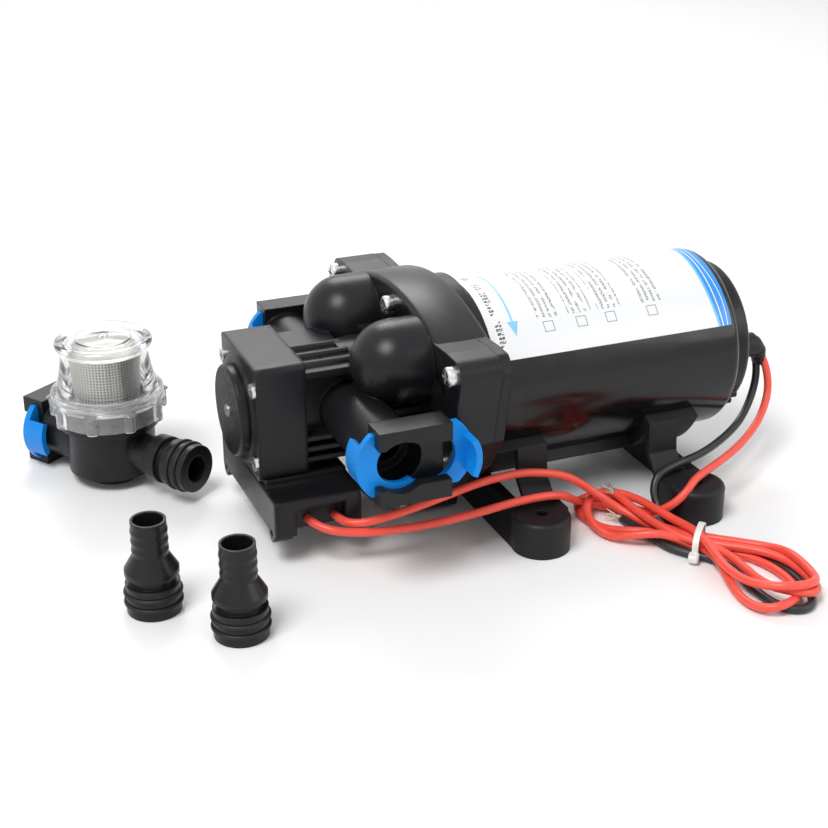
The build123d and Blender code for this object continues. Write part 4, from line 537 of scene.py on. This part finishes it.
strainerSet = {"middle": (-188.9, 73.9),
               "bowl": [(0.5, 67.1), (1.8, 67.6), (11.6, 67.8), (12.8, 67.1), (15.2, 67.0), (16.6, 67.6),
                        (18.6, 68.0), (20.6, 67.7), (21.7, 66.4), (21.6, 64.9), (20.4, 63.9), (19.4, 62.6),
                        (19.7, 58.0), (21.0, 51.0), (22.3, 46.6), (22.4, 45.2), (20.9, 44.4), (20.0, 43.6),
                        (20.0, 40.6), (22.2, 40.4), (22.3, 38.1), (18.2, 38.1), (18.2, 46.0), (17.8, 56.0),
                        (17.6, 64.6), (16.6, 65.8), (0.5, 65.8)],
               "ring": [(20.4, 40.9), (20.4, 43.2), (21.2, 44.0), (23.6, 44.0), (25.1, 43.3), (25.3, 41.9),
                        (24.4, 41.2), (24.4, 40.7), (25.2, 40.1), (25.2, 39.0), (24.2, 38.4), (23.9, 34.4),
                        (24.1, 33.4), (23.9, 30.9), (23.3, 30.2), (22.7, 30.4), (22.6, 40.6)],
               "ringSteps": 270, "lugs": 9, "lugRadius": 2.6, "lugArc": 24.0, "lugFrom": 23.6, "lugBelow": 40.3,
               "lugTop": 40.4, "lugFade": 1.4}


def strainerTop(p):
    clear = clearMoulding("clearBowl", (0.97, 0.98, 0.98), 1.4, 0.97, (0.045, 0.03, 0.11), 120, 0.00006,
                          waves=45)
    bowl = lathe("bowlGlass", outlineCurve(p["bowl"]), p["middle"], clear, "strainer_bowl")
    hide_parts("strainer_bowl")
    milky = clearMoulding("clearRing", (0.94, 0.95, 0.955), 1.42, 0.88, (0.08, 0.07, 0.2), 150, 0.00005)

    def lugs(turn, height, radius):
        # Rounded ribs below the rim: half circles standing on the skirt at equal angles
        gap = math.tau / p["lugs"]
        off = (np.mod(turn + gap / 2, gap) - gap / 2) * p["lugArc"]
        rise = np.sqrt(np.maximum(p["lugRadius"] ** 2 - off ** 2, 0))
        fade = np.clip((p["lugTop"] - height) / p["lugFade"], 0, 1)
        return rise * (radius > p["lugFrom"]) * (height < p["lugBelow"]) * fade

    ring = lathe("ringGlass", outlineCurve(p["ring"], steps=4), p["middle"], milky,
                 "strainer_ring", steps=p["ringSteps"], swell=lugs)
    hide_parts("strainer_ring")


strainerTop(strainerSet)
print("strainer top made")

archSet = {"crest": 45.4, "fall": 0.0046, "half": 58.0, "steps": 81,
           "section": [(-80.15, -13), (-80.15, -2.4), (-79.95, -1.1), (-79.3, -0.35), (-78, 0), (-69, 0.3),
                       (-58.6, 0), (-57.3, -0.35), (-56.7, -1.1), (-56.5, -2.4), (-56.5, -13)]}


def headArch(p):
    # Crown of the head's band: one section (x, height) carried across, falling with y squared
    section = np.array(p["section"], dtype=float)
    across = np.linspace(-p["half"], p["half"], p["steps"])
    crest = p["crest"] - p["fall"] * across ** 2 + axisHeight * 1000
    grid = np.zeros((len(across), len(section), 3))
    grid[..., 0] = section[None, :, 0]
    grid[..., 1] = across[:, None]
    grid[..., 2] = crest[:, None] + section[None, :, 1]
    black = moulded("archBlack", colour(21, 21, 24), 0.3, edge=0.0011)
    surface("headArch", grid / 1000, black, wrapV=True, caps=True)


headArch(archSet)
print("arch made")

sleeveSet = {"path": [(87.6, -17, 55.0), (91.4, -17, 54.9), (94.4, -17, 52.6), (95.8, -17, 48.6),
                      (96.2, -17, 45.4)],
             "wide": [5.3, 5.2, 4.9, 4.5, 4.2], "deep": [5.2, 4.9, 3.9, 3.0, 2.5], "rings": 33, "rounds": 14,
             "around": 48, "ribs": 4, "ribRise": 0.05, "ribCut": 0.2, "ribFrom": 0.3, "lip": 0.9}


def strainRelief(p):
    # Tapered sleeve: an oval section carried along the leads' first bend, thinning towards its end
    path = np.array(p["path"])
    t = np.linspace(0, 1, len(path))
    fine = np.linspace(0, 1, p["rings"])
    line = np.stack([np.interp(fine, t, path[:, i]) for i in range(3)], axis=1)
    for _ in range(p["rounds"]):
        line[1:-1] = 0.25 * line[:-2] + 0.5 * line[1:-1] + 0.25 * line[2:]
    along = np.gradient(line, axis=0)
    along /= np.linalg.norm(along, axis=1)[:, None]
    across = np.array([0, 1.0, 0])
    up = np.cross(across, along)
    wide = np.interp(fine, t, p["wide"])
    deep = np.interp(fine, t, p["deep"])
    ribs = 1 + p["ribRise"] * (np.sin(fine * math.tau * p["ribs"]) > p["ribCut"]) * (fine > p["ribFrom"])
    turn = np.linspace(0, math.tau, p["around"], endpoint=False)
    grid = (line[:, None] + np.cos(turn)[None, :, None] * across * (wide * ribs)[:, None, None]
            + np.sin(turn)[None, :, None] * up[:, None] * (deep * ribs)[:, None, None])
    lip = line[-1] + (grid[-1] - line[-1]) * p["lip"]
    grid = np.concatenate([grid, lip[None]])
    surface("reliefSleeve", grid / 1000, rubber("sleeveRubber", colour(18, 18, 19), 0.48),
            wrapV=True, caps=True)


strainRelief(sleeveSet)

tieSet = {"middle": (21.1, -91.8), "turn": 48.0, "halfSpan": 9.1, "top": 11.7, "under": 0.2, "width": 2.6,
          "thick": 0.8, "roundness": 0.72, "steps": 96,
          "headSize": (5.0, 4.4, 3.6), "headFoot": 0.9, "headSquare": 0.5, "headSteps": 40,
          "headLevels": [(0.0, 0.7), (0.08, 0.9), (0.2, 1.0), (0.8, 1.0), (0.92, 0.9), (1.0, 0.7), (1.0, 0.4),
                         (0.85, 0.34)]}


def squircle(steps, power):
    # Closed outline from cosine and sine raised to a power: 1 is a circle, towards 0 a square
    turn = np.linspace(0, math.tau, steps, endpoint=False)
    c, s = np.cos(turn), np.sin(turn)
    return np.stack([np.sign(c) * np.abs(c) ** power, np.sign(s) * np.abs(s) ** power], axis=1)


def cableTie(p):
    # Strap: an oval loop round the bundle, with a flat band as its section
    nylon = moulded("tieNylon", colour(232, 232, 228), 0.36, grain=0.00002, edge=0.0002, wear=0.1)
    half = np.array([p["halfSpan"], (p["top"] - p["under"]) / 2])
    section = np.array([(1, -0.9), (1, 0.9), (0.9, 1), (0, 1), (0, -1), (0.9, -1)])
    ring = squircle(p["steps"], p["roundness"])[:, None] * (half - p["thick"] * (1 - section[None, :, :1]))
    side = np.broadcast_to(section[None, :, 1] * p["width"] / 2, ring.shape[:2])
    grid = np.stack([ring[..., 0], side, ring[..., 1] + (p["top"] + p["under"]) / 2], axis=-1)
    # Head: a rounded block, its section carried up its height and shrinking at both ends
    long, wide, high = p["headSize"]
    level = np.array(p["headLevels"])
    flat = squircle(p["headSteps"], p["headSquare"])[None] * level[:, None, 1:] * np.array([long / 2, wide / 2])
    tall = np.broadcast_to(p["headFoot"] + level[:, :1] * high, flat.shape[:2])
    head = np.stack([flat[..., 0] - p["halfSpan"] - long / 2 + p["headFoot"], flat[..., 1], tall], axis=-1)
    turn = math.radians(p["turn"])
    spin = np.array([[math.cos(turn), math.sin(turn), 0], [-math.sin(turn), math.cos(turn), 0], [0, 0, 1]])
    shift = np.array([*p["middle"], 0])
    strap = surface("tieStrap", (grid @ spin + shift) / 1000, nylon, wrapU=True, wrapV=True,
                    smooth=False)
    block = surface("tieHead", (head @ spin + shift) / 1000, nylon, wrapV=True, caps=True)
    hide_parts("cable_tie")
    return [strap, block]


strandSet = {"count": 19, "radius": 0.17, "length": 8.0, "lengthSpread": (0.7, 0.3, 1.7), "turnStep": 2.4,
             "root": -0.12, "steps": 12, "sides": 6, "core": 1.1, "splay": 3.4, "splayPower": 1.6,
             "flatten": 0.6, "lowest": 0.3,
             "ends": {"redStrands": ((6.1, -47.8, 9), (-0.35, 0.95, 0.25)),
                      "blackStrands": ((4.6, -57.6, 1.9), (-0.75, 0.7, 0.12))}}


def bareStrands(p):
    # Each strand is a thin tube along start + heading t + sideways spread times t to a power
    copper = Paint("tinnedStrands", (0.78, 0.7, 0.58), Metallic=1.0, Roughness=0.3)
    copper.drive("Roughness", copper.spread(copper.noise(900, 2), 0.3, 0.7, 0.22, 0.42))
    made = []
    for name, (start, heading) in p["ends"].items():
        heading = np.array(heading) / np.linalg.norm(heading)
        across = np.cross(heading, (0, 0, 1.0))
        across /= np.linalg.norm(across)
        up = np.cross(across, heading)
        k = np.arange(p["count"])
        angle = k * p["turnStep"]
        off = np.sqrt((k + 0.5) / p["count"])
        t = np.linspace(p["root"], 1, p["steps"])
        sway = np.cos(angle)[:, None] * across + np.sin(angle)[:, None] * up * p["flatten"]
        least, more, beat = p["lengthSpread"]
        reach = p["length"] * (least + more * np.cos(k * beat))
        spread = np.clip(t, 0, 1)[None, :, None] ** p["splayPower"] * (off * p["splay"])[:, None, None]
        line = (np.array(start) + t[None, :, None] * reach[:, None, None] * heading
                + (off * p["core"])[:, None, None] * sway[:, None, :]
                + spread * sway[:, None, :])
        line[:, :, 2] = np.maximum(line[:, :, 2], p["lowest"])
        ring = np.linspace(0, math.tau, p["sides"], endpoint=False)
        circle = np.cos(ring)[:, None] * across + np.sin(ring)[:, None] * up
        tubes = line[:, :, None, :] + circle[None, None] * p["radius"]
        each = p["steps"] * p["sides"]
        grid = np.arange(each).reshape(p["steps"], p["sides"])
        turned = np.roll(grid, -1, 1)
        quads = np.stack([grid[:-1], turned[:-1], turned[1:], grid[1:]], -1).reshape(-1, 4)
        faces = []
        for first in k * each:
            faces += (quads + first).tolist()
            faces += [(grid[0][::-1] + first).tolist(), (grid[-1] + first).tolist()]
        holder = meshObject(name, (tubes.reshape(-1, 3) / 1000).tolist(), faces, copper.material)
        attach(holder, "pump")
        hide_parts("bare_strands")
        made.append(holder)
    return made


tiePieces = cableTie(tieSet)
redStrands, blackStrands = bareStrands(strandSet)
print("tie and strands made")

layLeads(leadSet, [redStrands], [blackStrands], tiePieces)
print("leads laid")


studioSet = {"floor": 1.15, "drop": 0.0002, "shade": 0.9, "rough": 0.7, "world": 0.46, "backdrop": 1.0,
             "aim": (0, 0, 0.05),
             "lamps": {"key": ((-0.8, -0.5, 1.5), 0.7, 20.0), "fill": ((1.2, -1.1, 0.9), 1.0, 7.0),
                       "rim": ((0.2, 1.3, 1.2), 0.8, 11.0)}}


def studio(p):
    corners = [(x * p["floor"], y * p["floor"], -p["drop"]) for x, y in ((-1, -1), (1, -1), (1, 1), (-1, 1))]
    paint = Paint("studioFloor", (p["shade"],) * 3, Roughness=p["rough"])
    floor = meshObject("studioFloor", corners, [(0, 1, 2, 3)], paint.material)
    # White behind the object, in its gloss and through its clear parts; a dimmer level lights it
    world = bpy.data.worlds.new("studioWorld")
    bpy.context.scene.world = world
    world.use_nodes = True
    tree = world.node_tree
    back = tree.nodes["Background"]
    ray = tree.nodes.new("ShaderNodeLightPath")
    seen = ray.outputs["Is Camera Ray"]
    for kind in ("Is Transmission Ray", "Is Glossy Ray"):
        either = tree.nodes.new("ShaderNodeMath")
        either.operation = "MAXIMUM"
        tree.links.new(seen, either.inputs[0])
        tree.links.new(ray.outputs[kind], either.inputs[1])
        seen = either.outputs[0]
    level = tree.nodes.new("ShaderNodeMapRange")
    tree.links.new(seen, level.inputs["Value"])
    level.inputs["To Min"].default_value = p["world"]
    level.inputs["To Max"].default_value = p["backdrop"]
    back.inputs["Color"].default_value = (1, 1, 1, 1)
    tree.links.new(level.outputs[0], back.inputs["Strength"])
    for name, (place, size, power) in p["lamps"].items():
        lamp = bpy.data.lights.new(name, "AREA")
        lamp.size = size
        lamp.energy = power
        holder = bpy.data.objects.new(name, lamp)
        holder.location = place
        aim = np.array(p["aim"]) - np.array(place)
        flat = math.hypot(aim[0], aim[1])
        holder.rotation_euler = (math.atan2(flat, -aim[2]), 0, math.atan2(aim[1], aim[0]) - math.pi / 2)
        bpy.context.collection.objects.link(holder)
    bpy.context.scene.view_settings.view_transform = "Standard"


studio(studioSet)
print("studio lit")
